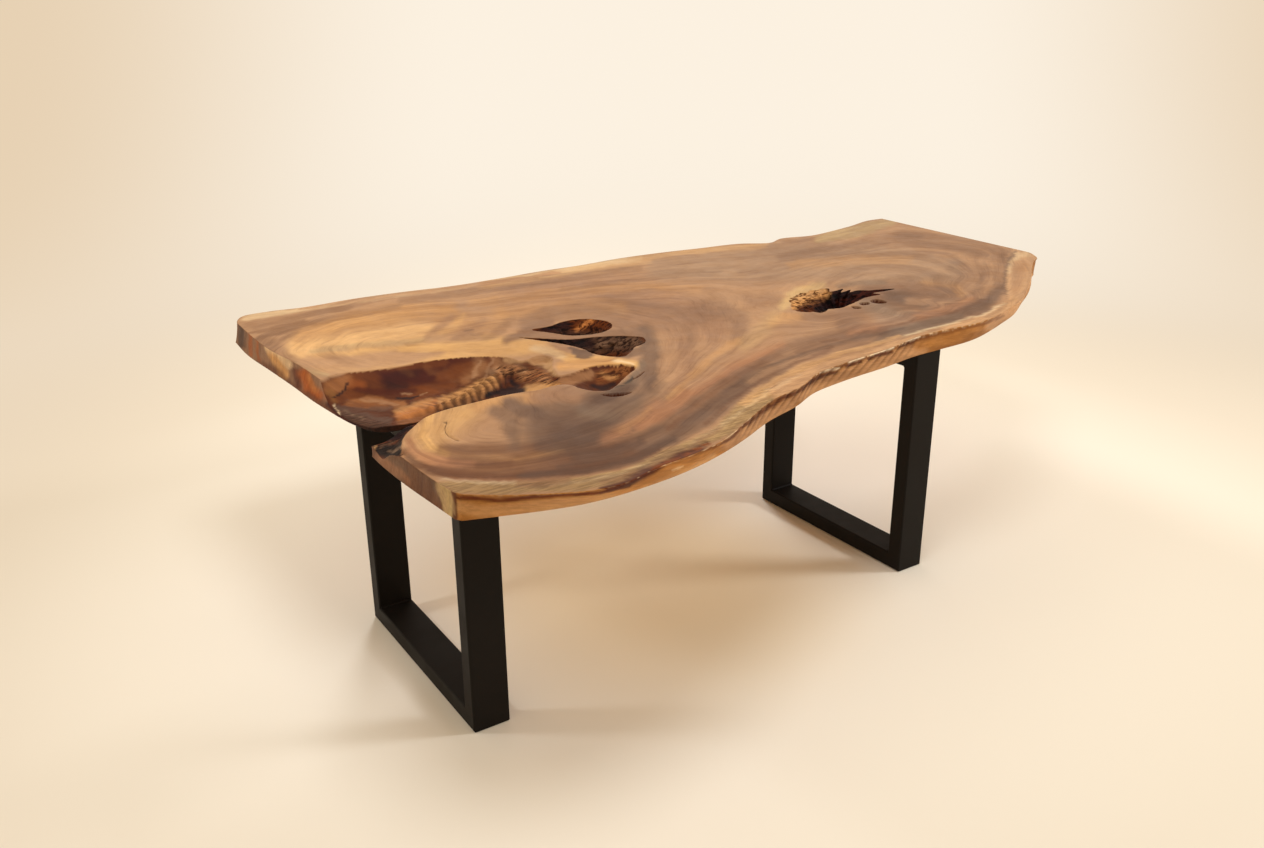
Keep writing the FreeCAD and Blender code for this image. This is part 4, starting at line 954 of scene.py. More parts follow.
FILLS = {
    "moon": [(571, 347), (581, 350), (593, 352), (590, 357), (581, 358), (574, 356)],
    "near band left": [(440, 484), (520, 483), (552, 482), (590, 477), (620, 471), (640, 464), (668, 453),
                       (672, 457), (650, 465), (620, 480), (585, 489), (520, 492), (458, 492)],
    "near band middle": [(640, 464), (675, 448), (700, 438), (720, 426), (740, 404), (774, 384),
                         (776, 397), (738, 427), (698, 448), (675, 454), (650, 466)],
    "near band right": [(770, 386), (792, 371), (812, 361), (845, 352), (880, 343), (910, 336),
                        (930, 331), (955, 323), (980, 316), (1005, 304), (1012, 297), (1018, 301),
                        (1008, 310), (980, 322), (940, 331), (890, 348), (850, 361), (818, 373),
                        (800, 387), (774, 399)],
    "end block": [(1013, 251), (1008, 259), (1006, 270), (1006, 288), (1010, 298), (1020, 302),
                  (1030, 280), (1036, 257), (1026, 251)],
}
STROKES = {
    "top": TOP_STROKES, "recess": RECESS_STROKES, "far_lobe_end": FAR_LOBE_STROKES,
    "near_lobe_end": NEAR_LOBE_STROKES, "near_wall": NEAR_WALL_STROKES,
    "void_wall": VOID_STROKES, "cleft": CLEFT_STROKES,
}
SIDE_BASE = {
    "near_wall": CINNAMON, "narrow_wall": TAN, "far_wall": CINNAMON, "far_lobe_end": UMBER,
    "near_lobe_end": PLUM, "cleft": BARK_DARK, "void_wall": CHOCOLATE, "underside": HEART,
    "top": TAN,
}
# How strong the light is on each part of the skin, and how much sheen lies over it.
LIGHT_ON = {
    "top": (1.15, 0.027), "recess": (1.15, 0.014), "near_wall": (0.85, 0.012),
    "narrow_wall": (1.0, 0.012), "far_wall": (1.0, 0.012), "far_lobe_end": (1.0, 0.02),
    "near_lobe_end": (1.0, 0.02), "cleft": (1.0, 0.012), "void_wall": (1.0, 0.012),
    "underside": (1.0, 0.012),
}
SHEEN_TINT = (1.0, 0.91, 0.77)
LEAST_ALBEDO = 0.003
# How raw each part of the skin is: 0 is sanded and oiled, 1 is torn fibre or bark.
ROUGHNESS_OF = {
    "top": 0.0, "near_wall": 0.2, "narrow_wall": 0.25, "far_wall": 0.5, "far_lobe_end": 0.15,
    "near_lobe_end": 0.2, "cleft": 0.8, "void_wall": 1.0, "underside": 0.2,
}
# Where the top and the recess are raw: how much, half width, border and line.
RAW_TOP = [
    (0.45, 5, 3, "near band left"), (0.5, 4, 3, "near band middle"),
    (0.25, 4, 3, "near band right"), (0.8, 6, 5, [(376, 448), (392, 450), (400, 455)]),
]
RAW_RECESS = [
    (1.0, 7, 6, [(500, 372), (530, 374), (556, 382)]), (0.9, 9, 6, [(600, 376), (628, 370)]),
    (1.0, 5, 3, [(380, 445), (396, 438), (405, 431), (416, 424)]),
    (0.5, 6, 5, [(445, 402), (500, 378)]), (0.8, 4, 4, [(338, 412), (370, 424), (395, 427)]),
]
RECESS_START = 1.2  # how deep below the top face, in mm, the recess's own paint begins
# How far the paint strays from its line, in picture pixels across and down.
WANDER = (2.4, 1.2)
GRAIN_STRAY = (0.0, 1.6)
FRAY_TOP = (0.9, 0.5)
FRAY_RECESS = (2.6, 1.3)

# The near edge along X in mm: how strong and how wide the dark bark line below its
# ridge is, how deep its undercut is, and where it is ribbed and chipped.
BARK_STRENGTH = ([-1400, -1150, -1060, -960, -840, -700, -600, -450, -300, 100, 250, 700],
                 [0.5, 0.6, 0.9, 0.3, 0.25, 0.5, 0.6, 0.4, 0.6, 0.6, 0.3, 0.1])
BARK_WIDTH = ([-1150, -1060, -700, -500], [4.5, 9.0, 8.0, 5.0])
UNDERCUT = ([-1300, -1150, -450, -380], [0.5, 1.0, 1.0, 0.3])
RIBBED = ([-740, -640, 90, 230], [0.0, 1.0, 1.0, 0.0])
CHIPPED = ([-1100, -1000, -850, -500, -250, 350, 600], [0.2, 0.8, 0.6, 0.2, 0.9, 0.9, 0.3])
RIB_REACH = ([0, 12, 30, 55], [0.2, 1.0, 0.8, 0.3])  # by the depth below the ridge
UNDERCUT_DOWN = 10
EDGE_RIB_PITCH = 44
EDGE_RIB_SLANT = 1.3
BARK_DOWN = 8
# How much faster green and blue darken than red.
DARKENING = np.array([1.0, 1.12, 1.2])
ROOT_DARKENING = np.array([1.0, 1.1, 1.2])
CRACK_DARK = 0.85
# The figure: how fast depth in the tree changes down the slab, the tilts of the lobes'
# ends, and the slant of the near edge along X in metres.
DEPTH_LEAN = 0.35
END_TILTS = {"far_lobe_end": 0.12, "near_lobe_end": 0.3}
EDGE_SLANT = ([-1.2, -0.6, 0.0, 0.5], [0.5, 0.35, 0.5, 0.25])


def to_linear(colour):
    """The linear light of an sRGB colour."""
    share = np.array(colour, float) / 255
    return np.where(share <= 0.04045, share / 12.92, ((share + 0.055) / 1.055) ** 2.4)


def to_albedo(colour, zone):
    """The paint that looks like a colour, once the studio's light and sheen are on it."""
    light, sheen = LIGHT_ON[zone]
    return np.maximum(to_linear(colour) - np.array(SHEEN_TINT) * sheen, LEAST_ALBEDO) / light


def stroke_mask(pixels, line, half_width, border):
    """How much a stroke covers each point; an open stroke tapers towards its ends."""
    if isinstance(line, str):
        loop = np.array(FILLS[line], float)
        apart, _ = nearest_on(pixels, loop, closed=True)
        apart = np.where(inside(pixels, loop), -apart, apart) + half_width
    else:
        apart, _ = nearest_on(pixels, line)
        ends = np.array([line[0], line[-1]], float)
        to_end = np.linalg.norm(pixels[:, None] - ends, axis=2).min(axis=1)
        taper = np.clip(to_end / (6 * half_width + 4), 0, 1)
        half_width = half_width * (0.3 + 0.7 * taper)
    fade = np.clip(1 - (apart - half_width) / border, 0, 1)
    return fade * fade * (3 - 2 * fade)


def lay_strokes(colours, pixels, strokes, zone):
    """Blend strokes of colour over the points' colours, in order."""
    for _, colour, strength, half_width, border, *lines in strokes:
        for line in lines:
            cover = stroke_mask(pixels, line, half_width, border)[:, None] * strength
            colours = colours * (1 - cover) + to_albedo(colour, zone) * cover
    return colours


def edge_shares(points):
    """How much of the near edge's undercut, chips and slanting ribs lies at each point."""
    x, _, z = points.T
    down = TOP - z
    undercut = np.interp(x, *UNDERCUT) * np.exp(-(((down - UNDERCUT_DOWN) / 6) ** 2))
    ribbed = np.interp(x, *RIBBED)
    chips = np.clip(lumps(points * (1, 1, 0.4), 26, 2) * 1.6 - 0.1, 0, 1)
    chips = chips * ribbed * np.exp(-((down / 13) ** 2))
    wave = np.sin(2 * math.pi * (x + EDGE_RIB_SLANT * down) / EDGE_RIB_PITCH)
    return undercut, chips, ribbed * np.maximum(0, wave) * np.interp(down, *RIB_REACH)


def line_near_edge(colours, points):
    """Darken the near edge's rib grooves and chip dents with painted shade, and lighten the worn chips on
    its ridge.
    """
    x = points[:, 0]
    down = TOP - points[:, 2]
    _, chips, ribs = edge_shares(points)
    patchy = np.clip(0.8 + 0.7 * lumps(points, 40, 2), 0.15, 1)
    bark = np.exp(-(((down - BARK_DOWN) / np.interp(x, *BARK_WIDTH)) ** 2))
    bark = bark * patchy * np.interp(x, *BARK_STRENGTH)
    # Painted shade in the rib grooves and chip dents that the wall's relief cuts.
    dark = np.clip(0.5 * chips + 0.6 * ribs, 0, 0.8)
    colours = colours * (1 - dark)[:, None] ** DARKENING
    colours = colours + (to_albedo(OXBLOOD, "near_wall") - colours) * bark[:, None]
    worn = np.clip(lumps(points + 70, 11, 2) * 2, 0, 1) * np.clip(1.3 - down / 8, 0, 1)
    worn = 0.85 * worn * np.interp(x, *CHIPPED)
    return colours + (to_albedo(SAP_PALE, "near_wall") - colours) * worn[:, None]


def in_zone(zones, name):
    return zones == ZONES.index(name)


def strayed(points, recess, depths):
    """The points' picture pixels, strayed so that no stroke's border runs quite even."""
    wander = np.column_stack([lumps(points, 60, 2), lumps(points + 500, 60, 2)])
    places = zip(points.tolist(), depths.tolist())
    grain = np.array([noise.noise((x / 150, y / 150, depth * 45)) for (x, y, _), depth in places])
    fray = np.column_stack([lumps(points + 900, 24, 3), lumps(points - 900, 24, 3)])
    pixels = to_picture(points) + wander * WANDER + grain[:, None] * GRAIN_STRAY
    return pixels + fray * np.where(recess[:, None], FRAY_RECESS, FRAY_TOP)


def paint(points, zones, depths):
    """The colour and the rawness of every vertex."""
    top = in_zone(zones, "top")
    recess = top & (points[:, 2] < TOP - RECESS_START)
    near_wall = in_zone(zones, "near_wall")
    pixels = strayed(points, recess, depths)
    colours = np.zeros((len(points), 3))
    raw = np.zeros(len(points))
    for zone in ZONES:
        colours[in_zone(zones, zone)] = to_albedo(SIDE_BASE[zone], zone)
        raw[in_zone(zones, zone)] = ROUGHNESS_OF[zone]
    colours[recess] = to_albedo(CHOCOLATE, "recess")
    for zone, strokes in STROKES.items():
        chosen = recess if zone == "recess" else in_zone(zones, zone) & ~recess
        colours[chosen] = lay_strokes(colours[chosen], pixels[chosen], strokes, zone)
    shade = np.clip(1 + 0.9 * root_ribs(points[recess, :2])[2], 0.35, 1.7)
    colours[recess] *= shade[:, None] ** ROOT_DARKENING
    colours[near_wall] = line_near_edge(colours[near_wall], points[near_wall])
    apart, _ = nearest_on(points[:, :2], CRACK_LINE)
    split = np.clip(1 - apart / CRACK_HALF_WIDTH, 0, 1) * top
    colours *= 1 - CRACK_DARK * split[:, None]
    for chosen, strokes in ((top, RAW_TOP), (recess, RAW_RECESS)):
        for amount, half_width, border, line in strokes:
            cover = stroke_mask(pixels[chosen], line, half_width, border) * amount
            raw[chosen] = np.maximum(raw[chosen], cover)
    return colours, raw


def figure_of(points, zones, depths):
    """Where each vertex lies in the figure: two slow ways and one across the grain."""
    x, y, z = (points * MM).T
    figure = np.column_stack([x, y, depths - DEPTH_LEAN * (TOP * MM - z)])
    for zone, tilt in END_TILTS.items():
        chosen = in_zone(zones, zone)
        figure[chosen, 2] = (y + tilt * z)[chosen]
        figure[chosen, 1] = 0.0
    chosen = in_zone(zones, "near_wall")
    slant = 0.3 * np.interp(x, *EDGE_SLANT)
    figure[chosen, 2] = (z + slant * (x + y))[chosen]
    return figure


# ------------------------------------------------------------ node materials
class Nodes:
    """Short ways to add nodes to a new material or to the world."""

    def __init__(self, owner):
        owner.use_nodes = True
        self.owner = owner
        self.tree = owner.node_tree
        self.shader = self.tree.nodes.get("Principled BSDF")

    def node(self, kind, **settings):
        made = self.tree.nodes.new(kind)
        for name, setting in settings.items():
            setattr(made, name, setting)
        return made

    def feed(self, socket, source):
        """Link a socket to another, or set its value."""
        if isinstance(source, bpy.types.NodeSocket):
            self.tree.links.new(source, socket)
        else:
            socket.default_value = source

    def attribute(self, name, output):
        return self.node("ShaderNodeAttribute", attribute_name=name).outputs[output]

    def place(self):
        """The place in the row frame, in metres."""
        return self.node("ShaderNodeTexCoord").outputs["Object"]

    def stretch(self, vector, scale, shift=(0, 0, 0)):
        made = self.node("ShaderNodeMapping")
        self.feed(made.inputs["Vector"], vector)
        made.inputs["Scale"].default_value = scale
        made.inputs["Location"].default_value = shift
        return made.outputs["Vector"]

    def apart(self, place, centre):
        """How far a place is from a centre on the floor."""
        made = self.node("ShaderNodeVectorMath", operation="LENGTH")
        self.feed(made.inputs[0], self.stretch(place, (1, 1, 0), (-centre[0], -centre[1], 0)))
        return made.outputs["Value"]

    def noise(self, vector, scale=1.0, detail=3.0, rough=0.55, warp=0.0):
        made = self.node("ShaderNodeTexNoise")
        self.feed(made.inputs["Vector"], vector)
        made.inputs["Scale"].default_value = scale
        made.inputs["Detail"].default_value = detail
        made.inputs["Roughness"].default_value = rough
        made.inputs["Distortion"].default_value = warp
        return made.outputs["Fac"]

    def math(self, operation, first, second=0.0, third=0.0, clamp=False):
        made = self.node("ShaderNodeMath", operation=operation, use_clamp=clamp)
        self.feed(made.inputs[0], first)
        self.feed(made.inputs[1], second)
        self.feed(made.inputs[2], third)
        return made.outputs[0]

    def span(self, source, low, high, to_low=0.0, to_high=1.0):
        """A value carried smoothly from one range to another, and kept inside it."""
        made = self.node("ShaderNodeMapRange", interpolation_type="SMOOTHSTEP")
        self.feed(made.inputs["Value"], source)
        made.inputs["From Min"].default_value = low
        made.inputs["From Max"].default_value = high
        made.inputs["To Min"].default_value = to_low
        made.inputs["To Max"].default_value = to_high
        return made.outputs["Result"]

    def mix(self, share, first, second, blend="MIX"):
        made = self.node("ShaderNodeMix", data_type="RGBA", blend_type=blend)
        self.feed(made.inputs[0], share)
        self.feed(made.inputs[6], first)
        self.feed(made.inputs[7], second)
        return made.outputs[2]

    def tint(self, share, colour, factor):
        """The colour, in part taken times a factor for red, green and blue."""
        return self.mix(share, colour, self.mix(1.0, colour, (*factor, 1), "MULTIPLY"))

    def bump(self, height, strength, distance, below=None):
        made = self.node("ShaderNodeBump")
        self.feed(made.inputs["Strength"], strength)
        made.inputs["Distance"].default_value = distance
        self.feed(made.inputs["Height"], height)
        if below is not None:
            self.feed(made.inputs["Normal"], below)
        return made.outputs["Normal"]

    def seen(self):
        """1 where a ray shows the backdrop itself, and 0 where it only brings its light."""
        path = self.node("ShaderNodeLightPath").outputs
        straight = self.math("MAXIMUM", path["Is Camera Ray"], path["Is Glossy Ray"])
        return self.math("MAXIMUM", straight, path["Is Transmission Ray"])

    def glow(self, kind, colour, strength=1.0):
        """A shader that gives off light."""
        made = self.node(kind)
        self.feed(made.inputs["Color"], colour)
        made.inputs["Strength"].default_value = strength
        return made.outputs[0]

    def choose(self, share, first, second):
        """One of two shaders."""
        made = self.node("ShaderNodeMixShader")
        self.feed(made.inputs[0], share)
        self.feed(made.inputs[1], first)
        self.feed(made.inputs[2], second)
        return made.outputs[0]

    def surface(self, colour, roughness, normal, specular=None, metallic=0.0):
        """Feed the main shader and return the material."""
        self.feed(self.shader.inputs["Base Color"], colour)
        self.feed(self.shader.inputs["Roughness"], roughness)
        self.feed(self.shader.inputs["Normal"], normal)
        self.shader.inputs["Metallic"].default_value = metallic
        if specular is not None:
            self.shader.inputs["Specular IOR Level"].default_value = specular
        return self.owner


# Factors for red, green and blue that the figure, grain and torn fibre lay on the wood.
PALE_BAND = (1.15, 1.15, 1.12)
DARK_BAND = (0.71, 0.65, 0.62)
DARK_STREAK = (0.70, 0.64, 0.60)
PALE_STREAK = (1.16, 1.14, 1.09)
THREAD = (0.80, 0.76, 0.74)
TORN_GAP = (0.45, 0.36, 0.30)
TORN_TIP = (1.35, 1.3, 1.2)
TORN_PIT = (0.40, 0.32, 0.26)
CLOUD = (0.88, 0.86, 0.84)


def bent_figure(n):
    """The figure's place, bent a little so that no ring runs quite even."""
    shift = n.node("ShaderNodeCombineXYZ")
    n.feed(shift.inputs[2], n.math("MULTIPLY", n.noise(n.place(), 5.0, 2), 0.018))
    bent = n.node("ShaderNodeVectorMath", operation="ADD")
    n.feed(bent.inputs[0], n.attribute("figure", "Vector"))
    n.feed(bent.inputs[1], shift.outputs[0])
    return bent.outputs[0]


def slab_wood():
    """Oiled hardwood: its colour is laid on the vertices, its grain and figure are here."""
    n = Nodes(bpy.data.materials.new("oiled_slab_wood"))
    base = n.attribute("wood_colour", "Color")
    raw = n.attribute("rawness", "Fac")
    figure = bent_figure(n)
    place = n.place()
    bands = n.noise(n.stretch(figure, (2.2, 2.2, 26)), 1.0, 4, 0.6)
    streaks = n.noise(n.stretch(figure, (4, 4, 120), (3, 1, 7)), 1.0, 4, 0.6)
    fibres = n.noise(n.stretch(figure, (18, 18, 700), (1, 5, 2)), 1.0, 2, 0.5)
    pores = n.noise(n.stretch(figure, (40, 40, 1500)), 1.0, 1)
    mottle = n.noise(place, 38.0, 3, 0.6)
    torn = n.noise(n.stretch(place, (18, 125, 105)), 1.0, 4, 0.6, 0.3)

    pale = n.mix(1.0, base, (*PALE_BAND, 1), "MULTIPLY")
    dark = n.mix(1.0, base, (*DARK_BAND, 1), "MULTIPLY")
    colour = n.mix(0.35, n.mix(n.span(bands, 0.34, 0.66), dark, pale), base)
    colour = n.tint(n.span(streaks, 0.56, 0.74, 0, 0.75), colour, DARK_STREAK)
    colour = n.tint(n.span(streaks, 0.44, 0.28, 0, 0.7), colour, PALE_STREAK)
    thread = n.mix(1.0, colour, (*THREAD, 1), "MULTIPLY")
    colour = n.mix(n.span(fibres, 0.5, 0.7, 0, 0.35), colour, thread)
    colour = n.mix(n.span(pores, 0.62, 0.72, 0, 0.25), colour, thread)
    gap = n.mix(1.0, colour, (*TORN_GAP, 1), "MULTIPLY")
    tip = n.mix(1.0, colour, (*TORN_TIP, 1), "MULTIPLY")
    ragged = n.mix(n.span(torn, 0.42, 0.58), gap, tip)
    colour = n.mix(n.math("MULTIPLY", raw, 0.75), colour, ragged)
    deep = n.math("MULTIPLY", n.span(raw, 0.75, 1.0), n.span(torn, 0.5, 0.4))
    colour = n.tint(deep, colour, TORN_PIT)
    colour = n.tint(n.span(mottle, 0.45, 0.65, 0, 0.5), colour, CLOUD)

    satin = n.span(n.noise(place, 14.0, 3), 0.3, 0.7, 0.42, 0.52)
    satin = n.math("ADD", satin, n.math("MULTIPLY", fibres, 0.06))
    roughness = n.math("MULTIPLY_ADD", raw, 0.25, satin, clamp=True)
    fine = n.bump(fibres, 0.12, 0.0006)
    normal = n.bump(torn, n.math("MULTIPLY", raw, 0.9), 0.006, fine)
    return n.surface(colour, roughness, normal, specular=0.12)


def powder_coat():
    """Matte black powder coat with its fine orange peel."""
    n = Nodes(bpy.data.materials.new("black_powder_coat"))
    place = n.place()
    cloud = n.noise(place, 9.0, 3)
    colour = n.mix(n.span(cloud, 0.3, 0.7), (0.0068, 0.0047, 0.0032, 1), (0.0095, 0.0066, 0.0046, 1))
    waves = n.bump(n.noise(place, 120.0, 2), 0.1, 0.0008)
    peel = n.bump(n.noise(place, 700.0, 2, 0.5), 0.25, 0.0004, waves)
    return n.surface(colour, n.span(cloud, 0.3, 0.7, 0.5, 0.6), peel, specular=0.11)


def zinc_plate():
    """Bright zinc plate, a little clouded."""
    n = Nodes(bpy.data.materials.new("zinc_plated_steel"))
    place = n.place()
    cloud = n.noise(place, 160.0, 3)
    colour = n.mix(n.span(cloud, 0.35, 0.65), (0.50, 0.51, 0.50, 1), (0.62, 0.62, 0.60, 1))
    turned = n.bump(n.noise(n.stretch(place, (60, 60, 2500)), 1.0, 2), 0.15, 0.0003)
    return n.surface(colour, n.span(cloud, 0.3, 0.7, 0.28, 0.42), turned, metallic=1.0)


def pad_plastic():
    """Dark moulded plastic of the floor pads."""
    n = Nodes(bpy.data.materials.new("pad_plastic"))
    place = n.place()
    grain = n.noise(place, 900.0, 2)
    cloud = n.noise(place, 60.0, 2)
    colour = n.mix(n.span(cloud, 0.3, 0.7), (0.022, 0.021, 0.020, 1), (0.034, 0.033, 0.031, 1))
    return n.surface(colour, n.span(grain, 0.3, 0.7, 0.55, 0.7), n.bump(grain, 0.2, 0.0003))


# -------------------------------------------------------- light and backdrop
PALE_CREAM = (0.975, 0.88, 0.75, 1)
# The backdrop is painted darker towards its rims, a painted fall-off of light.
BACKDROP_PAINTED_FALLOFF = (0.80, 0.64, 0.455, 1)
FLOOR_TINT = (0.97, 0.88, 0.745, 1)
# The paper is painted darker towards its rims, a painted fall-off of light away from the table.
FLOOR_PAINTED_FALLOFF = (0.82, 0.71, 0.565, 1)
# A painted shadow: the paper's warmer, darker colour under the table.
FLOOR_PAINTED_SHADOW = (0.94, 0.76, 0.50, 1)
LAMP_TINT = (0.9, 0.965, 1.05)
AMBIENT_TINT = (1.0, 0.83, 0.58, 1)
AMBIENT = 0.59
# Places on the floor, in metres sideways and ahead of the camera.
PAINTED_SHADOW_CENTRE = (0.02, 3.05)
POOL_CENTRE = (0.25, 3.4)
BACKDROP_MIDDLE = 0.5
# The paper sweep, in metres: where it starts behind the camera, where it turns up,
# the radius of the turn, its height and half its width.
SWEEP_BACK = -8.0
SWEEP_START = 6.0
SWEEP_RADIUS = 2.5
SWEEP_HEIGHT = 9.0
SWEEP_HALF_WIDTH = 14.0
SWEEP_STEPS = 12
# Each lamp: its name, place, target, size in metres and power in watts.
LAMPS = [
    ("left_softbox", (-2.35, 0.26, 1.70), (0.0, -0.2, 0.3), 0.24, 5.9),
    ("right_softbox", (4.6, -3.2, 4.1), (0, 0, 0.4), 1.4, 160),
    ("overhead_softbox", (-1.0, -1.0, 4.2), (-1.0, -1.0, 0), 1.6, 54),
    ("back_softbox", (1.5, 4.5, 3.2), (0, 0, 0.4), 1.6, 150),
]


def add_lamps():
    for name, place, target, size, power in LAMPS:
        lamp = bpy.data.lights.new(name, "AREA")
        lamp.shape = "DISK"
        lamp.size = size
        lamp.energy = power
        lamp.color = LAMP_TINT
        item = new_object(name, lamp)
        item.location = place
        aim = Vector(target) - Vector(place)
        item.rotation_euler = aim.to_track_quat("-Z", "Y").to_euler()
        item.visible_glossy = name != "back_softbox"


def add_world():
    """A warm ambient light, which shows itself as pale cream."""
    world = bpy.data.worlds.new("studio")
    bpy.context.scene.world = world
    n = Nodes(world)
    ambient = n.glow("ShaderNodeBackground", AMBIENT_TINT, AMBIENT)
    shown = n.glow("ShaderNodeBackground", PALE_CREAM)
    n.feed(n.tree.nodes["World Output"].inputs["Surface"], n.choose(n.seen(), ambient, shown))


def floor_paint():
    """Cream paper: lit by the lamps near the table, with a painted shadow under it and a painted fall-off
    of light towards its rims, and further away a backdrop that glows by itself.
    """
    n = Nodes(bpy.data.materials.new("cream_backdrop"))
    place = n.place()
    along = n.node("ShaderNodeSeparateXYZ")
    n.feed(along.inputs[0], place)
    sideways, ahead = along.outputs[0], along.outputs[1]
    apart = n.apart(place, POOL_CENTRE)
    # Painted fall-off of light: the paper darkens away from a pool around the table, and the backdrop away
    # from its middle; rim blends the two.
    painted_falloff_near = n.span(apart, 1.3, 2.6, 0, 0.8)
    off_middle = n.math("ABSOLUTE", n.math("SUBTRACT", sideways, BACKDROP_MIDDLE))
    painted_falloff_far = n.span(off_middle, 1.6, 5.0)
    rim = n.node("ShaderNodeMix", data_type="FLOAT")
    n.feed(rim.inputs[0], n.span(ahead, 4.5, 8.0))
    n.feed(rim.inputs[2], painted_falloff_near)
    n.feed(rim.inputs[3], painted_falloff_far)

    # Painted shadow: the paper turns warmer and darker under the table.
    painted_shadow = n.span(n.apart(place, PAINTED_SHADOW_CENTRE), 0.9, 0.2)
    paper = n.mix(painted_shadow, n.mix(painted_falloff_near, FLOOR_TINT, FLOOR_PAINTED_FALLOFF), FLOOR_PAINTED_SHADOW)
    tooth = n.noise(place, 60.0, 3)
    roughness = n.span(tooth, 0.3, 0.7, 0.85, 0.95)
    n.surface(paper, roughness, n.bump(tooth, 0.05, 0.0005), specular=0.1)

    shown = n.glow("ShaderNodeEmission", n.mix(rim.outputs[0], PALE_CREAM, BACKDROP_PAINTED_FALLOFF))
    ambient = n.glow("ShaderNodeEmission", AMBIENT_TINT, AMBIENT)
    backdrop = n.choose(n.seen(), ambient, shown)
    whole = n.choose(n.span(apart, 1.7, 4.2), n.shader.outputs[0], backdrop)
    n.feed(n.tree.nodes["Material Output"].inputs["Surface"], whole)
    return n.owner


def add_floor():
    """A paper sweep: the floor, a quarter turn and a wall, square to the camera's heading."""
    profile = [(SWEEP_BACK, 0.0), (2.0, 0.0), (SWEEP_START, 0.0)]
    for step in range(1, SWEEP_STEPS + 1):
        turn = math.radians(90) * step / SWEEP_STEPS
        ahead = SWEEP_START + SWEEP_RADIUS * math.sin(turn)
        profile.append((ahead, SWEEP_RADIUS * (1 - math.cos(turn))))
    profile.append((SWEEP_START + SWEEP_RADIUS, SWEEP_HEIGHT))
    sides = (-SWEEP_HALF_WIDTH, SWEEP_HALF_WIDTH)
    corners = [(side, ahead, height) for ahead, height in profile for side in sides]
    faces = [(2 * k, 2 * k + 1, 2 * k + 3, 2 * k + 2) for k in range(len(profile) - 1)]
    mesh = bpy.data.meshes.new("floor")
    mesh.from_pydata(corners, [], faces)
    mesh.shade_smooth()
    mesh.materials.append(floor_paint())
    floor = new_object("floor", mesh)
    floor.location = (CAMERA_PLACE[0], CAMERA_PLACE[1], 0)
    floor.rotation_euler = (0, 0, -CAMERA_HEADING)


# ------------------------------------------------------------ the slab's skin
LEVEL_RINGS = 2  # the first rings of a wall that still belong to the top face
ARRIS = [(0.0, 0.0), (0.5, 0.134), (0.866, 0.5), (1.0, 1.0)]  # shares of EASE: out, down
RIM_MARGIN = 2.0
TORN_EASE = 1.0
# Relief in mm: of the worn natural edge, of the near edge's features, and of torn fibre.
WORN_WAVE = 2.6
WORN_GRIT = 1.1
UNDERCUT_RELIEF = 6.5
CHIP_RELIEF = 6.5
RIB_RELIEF = 3.4
FIBRE_RELIEF = 8.0
FIBRE_STRETCH = (2.6, 0.7, 0.6)
# How ragged the voids' loops are in the top face; the right one by x - 0.8 y.
RAGGED = 1.8
RIGHT_RAGGED = ([120, 160, 220], [14, 9, RAGGED])
TRUE_EDGE = 12  # the wall's relief fades out where less than this, in mm, is left of it
TRUE_FADE = 30
# The gaps that drawn points keep from the lines, in mm, and as shares of their own step.
RIM_GAP = 5.0
BESIDE_GAP = 1.8
SLIT_ROOM = 8
FINE_SHARE = 0.5
SLIT_SHARE = 0.45
FLAT_SHARE = 0.55
UNDERSIDE_SHARE = 0.4


def outer_relief(ring, share, height, sides):
    """How far the outer wall is worn back, in mm, at a ring's points."""
    whole = np.clip((height - BOTTOM - TRUE_EDGE) / TRUE_FADE, 0, 1)
    whole = whole * math.sin(math.pi * share) ** 0.5
    wave = 0.5 + 0.5 * lumps(ring, 90, 2)
    grit = 0.5 + 0.5 * lumps(ring, 16, 2)
    undercut, chips, ribs = edge_shares(ring)
    edge = UNDERCUT_RELIEF * undercut + CHIP_RELIEF * chips + RIB_RELIEF * ribs
    edge = edge * in_zone(sides, "near_wall")
    return whole * (WORN_WAVE * wave + WORN_GRIT * grit) + whole * edge


def outer_rows(rows, sides):
    """The rings of the outer wall, from the sheet's border down to the underside."""
    base = rows[:, :2]
    shift = rows[:, 2:]
    out = normals_of(base)
    border = base - out * (EASE + RIM_MARGIN)
    sunk = ((TOP - upper_heights(border)) / THICKNESS)[:, None]
    border = border + shift * sunk
    height = upper_heights(border)
    rings = [np.column_stack([border, height])]
    for outwards, down in ARRIS:
        plan = base + shift * sunk - out * EASE * (1 - outwards)
        rings.append(np.column_stack([plan, height - EASE * down]))
    for level in range(1, WALL_ROWS + 1):
        share = level / WALL_ROWS
        z = (height - EASE) * (1 - share) + (BOTTOM + UNDER_EASE) * share
        plan = base + shift * ((TOP - z) / THICKNESS)[:, None]
        ring = np.column_stack([plan, z])
        ring[:, :2] -= out * outer_relief(ring, share, height, sides)[:, None]
        rings.append(ring)
    for outwards, down in ARRIS[2::-1]:
        plan = base + shift - out * UNDER_EASE * (1 - outwards)
        z = np.full(len(base), BOTTOM + UNDER_EASE * down)
        rings.append(np.column_stack([plan, z]))
    return rings


def void_top(name):
    """The loop of a void in the top face, ragged where its fibres are torn."""
    loop = counter_clockwise(smooth_line(VOIDS[name], VOID_STEP, closed=True))
    flat = np.column_stack([loop, np.full(len(loop), TOP)])
    ragged = np.full(len(loop), RAGGED)
    if name == "right_void":
        ragged = np.interp(loop[:, 0] - 0.8 * loop[:, 1], *RIGHT_RAGGED)
    return loop + normals_of(loop) * (ragged * lumps(flat, 13, 2))[:, None]


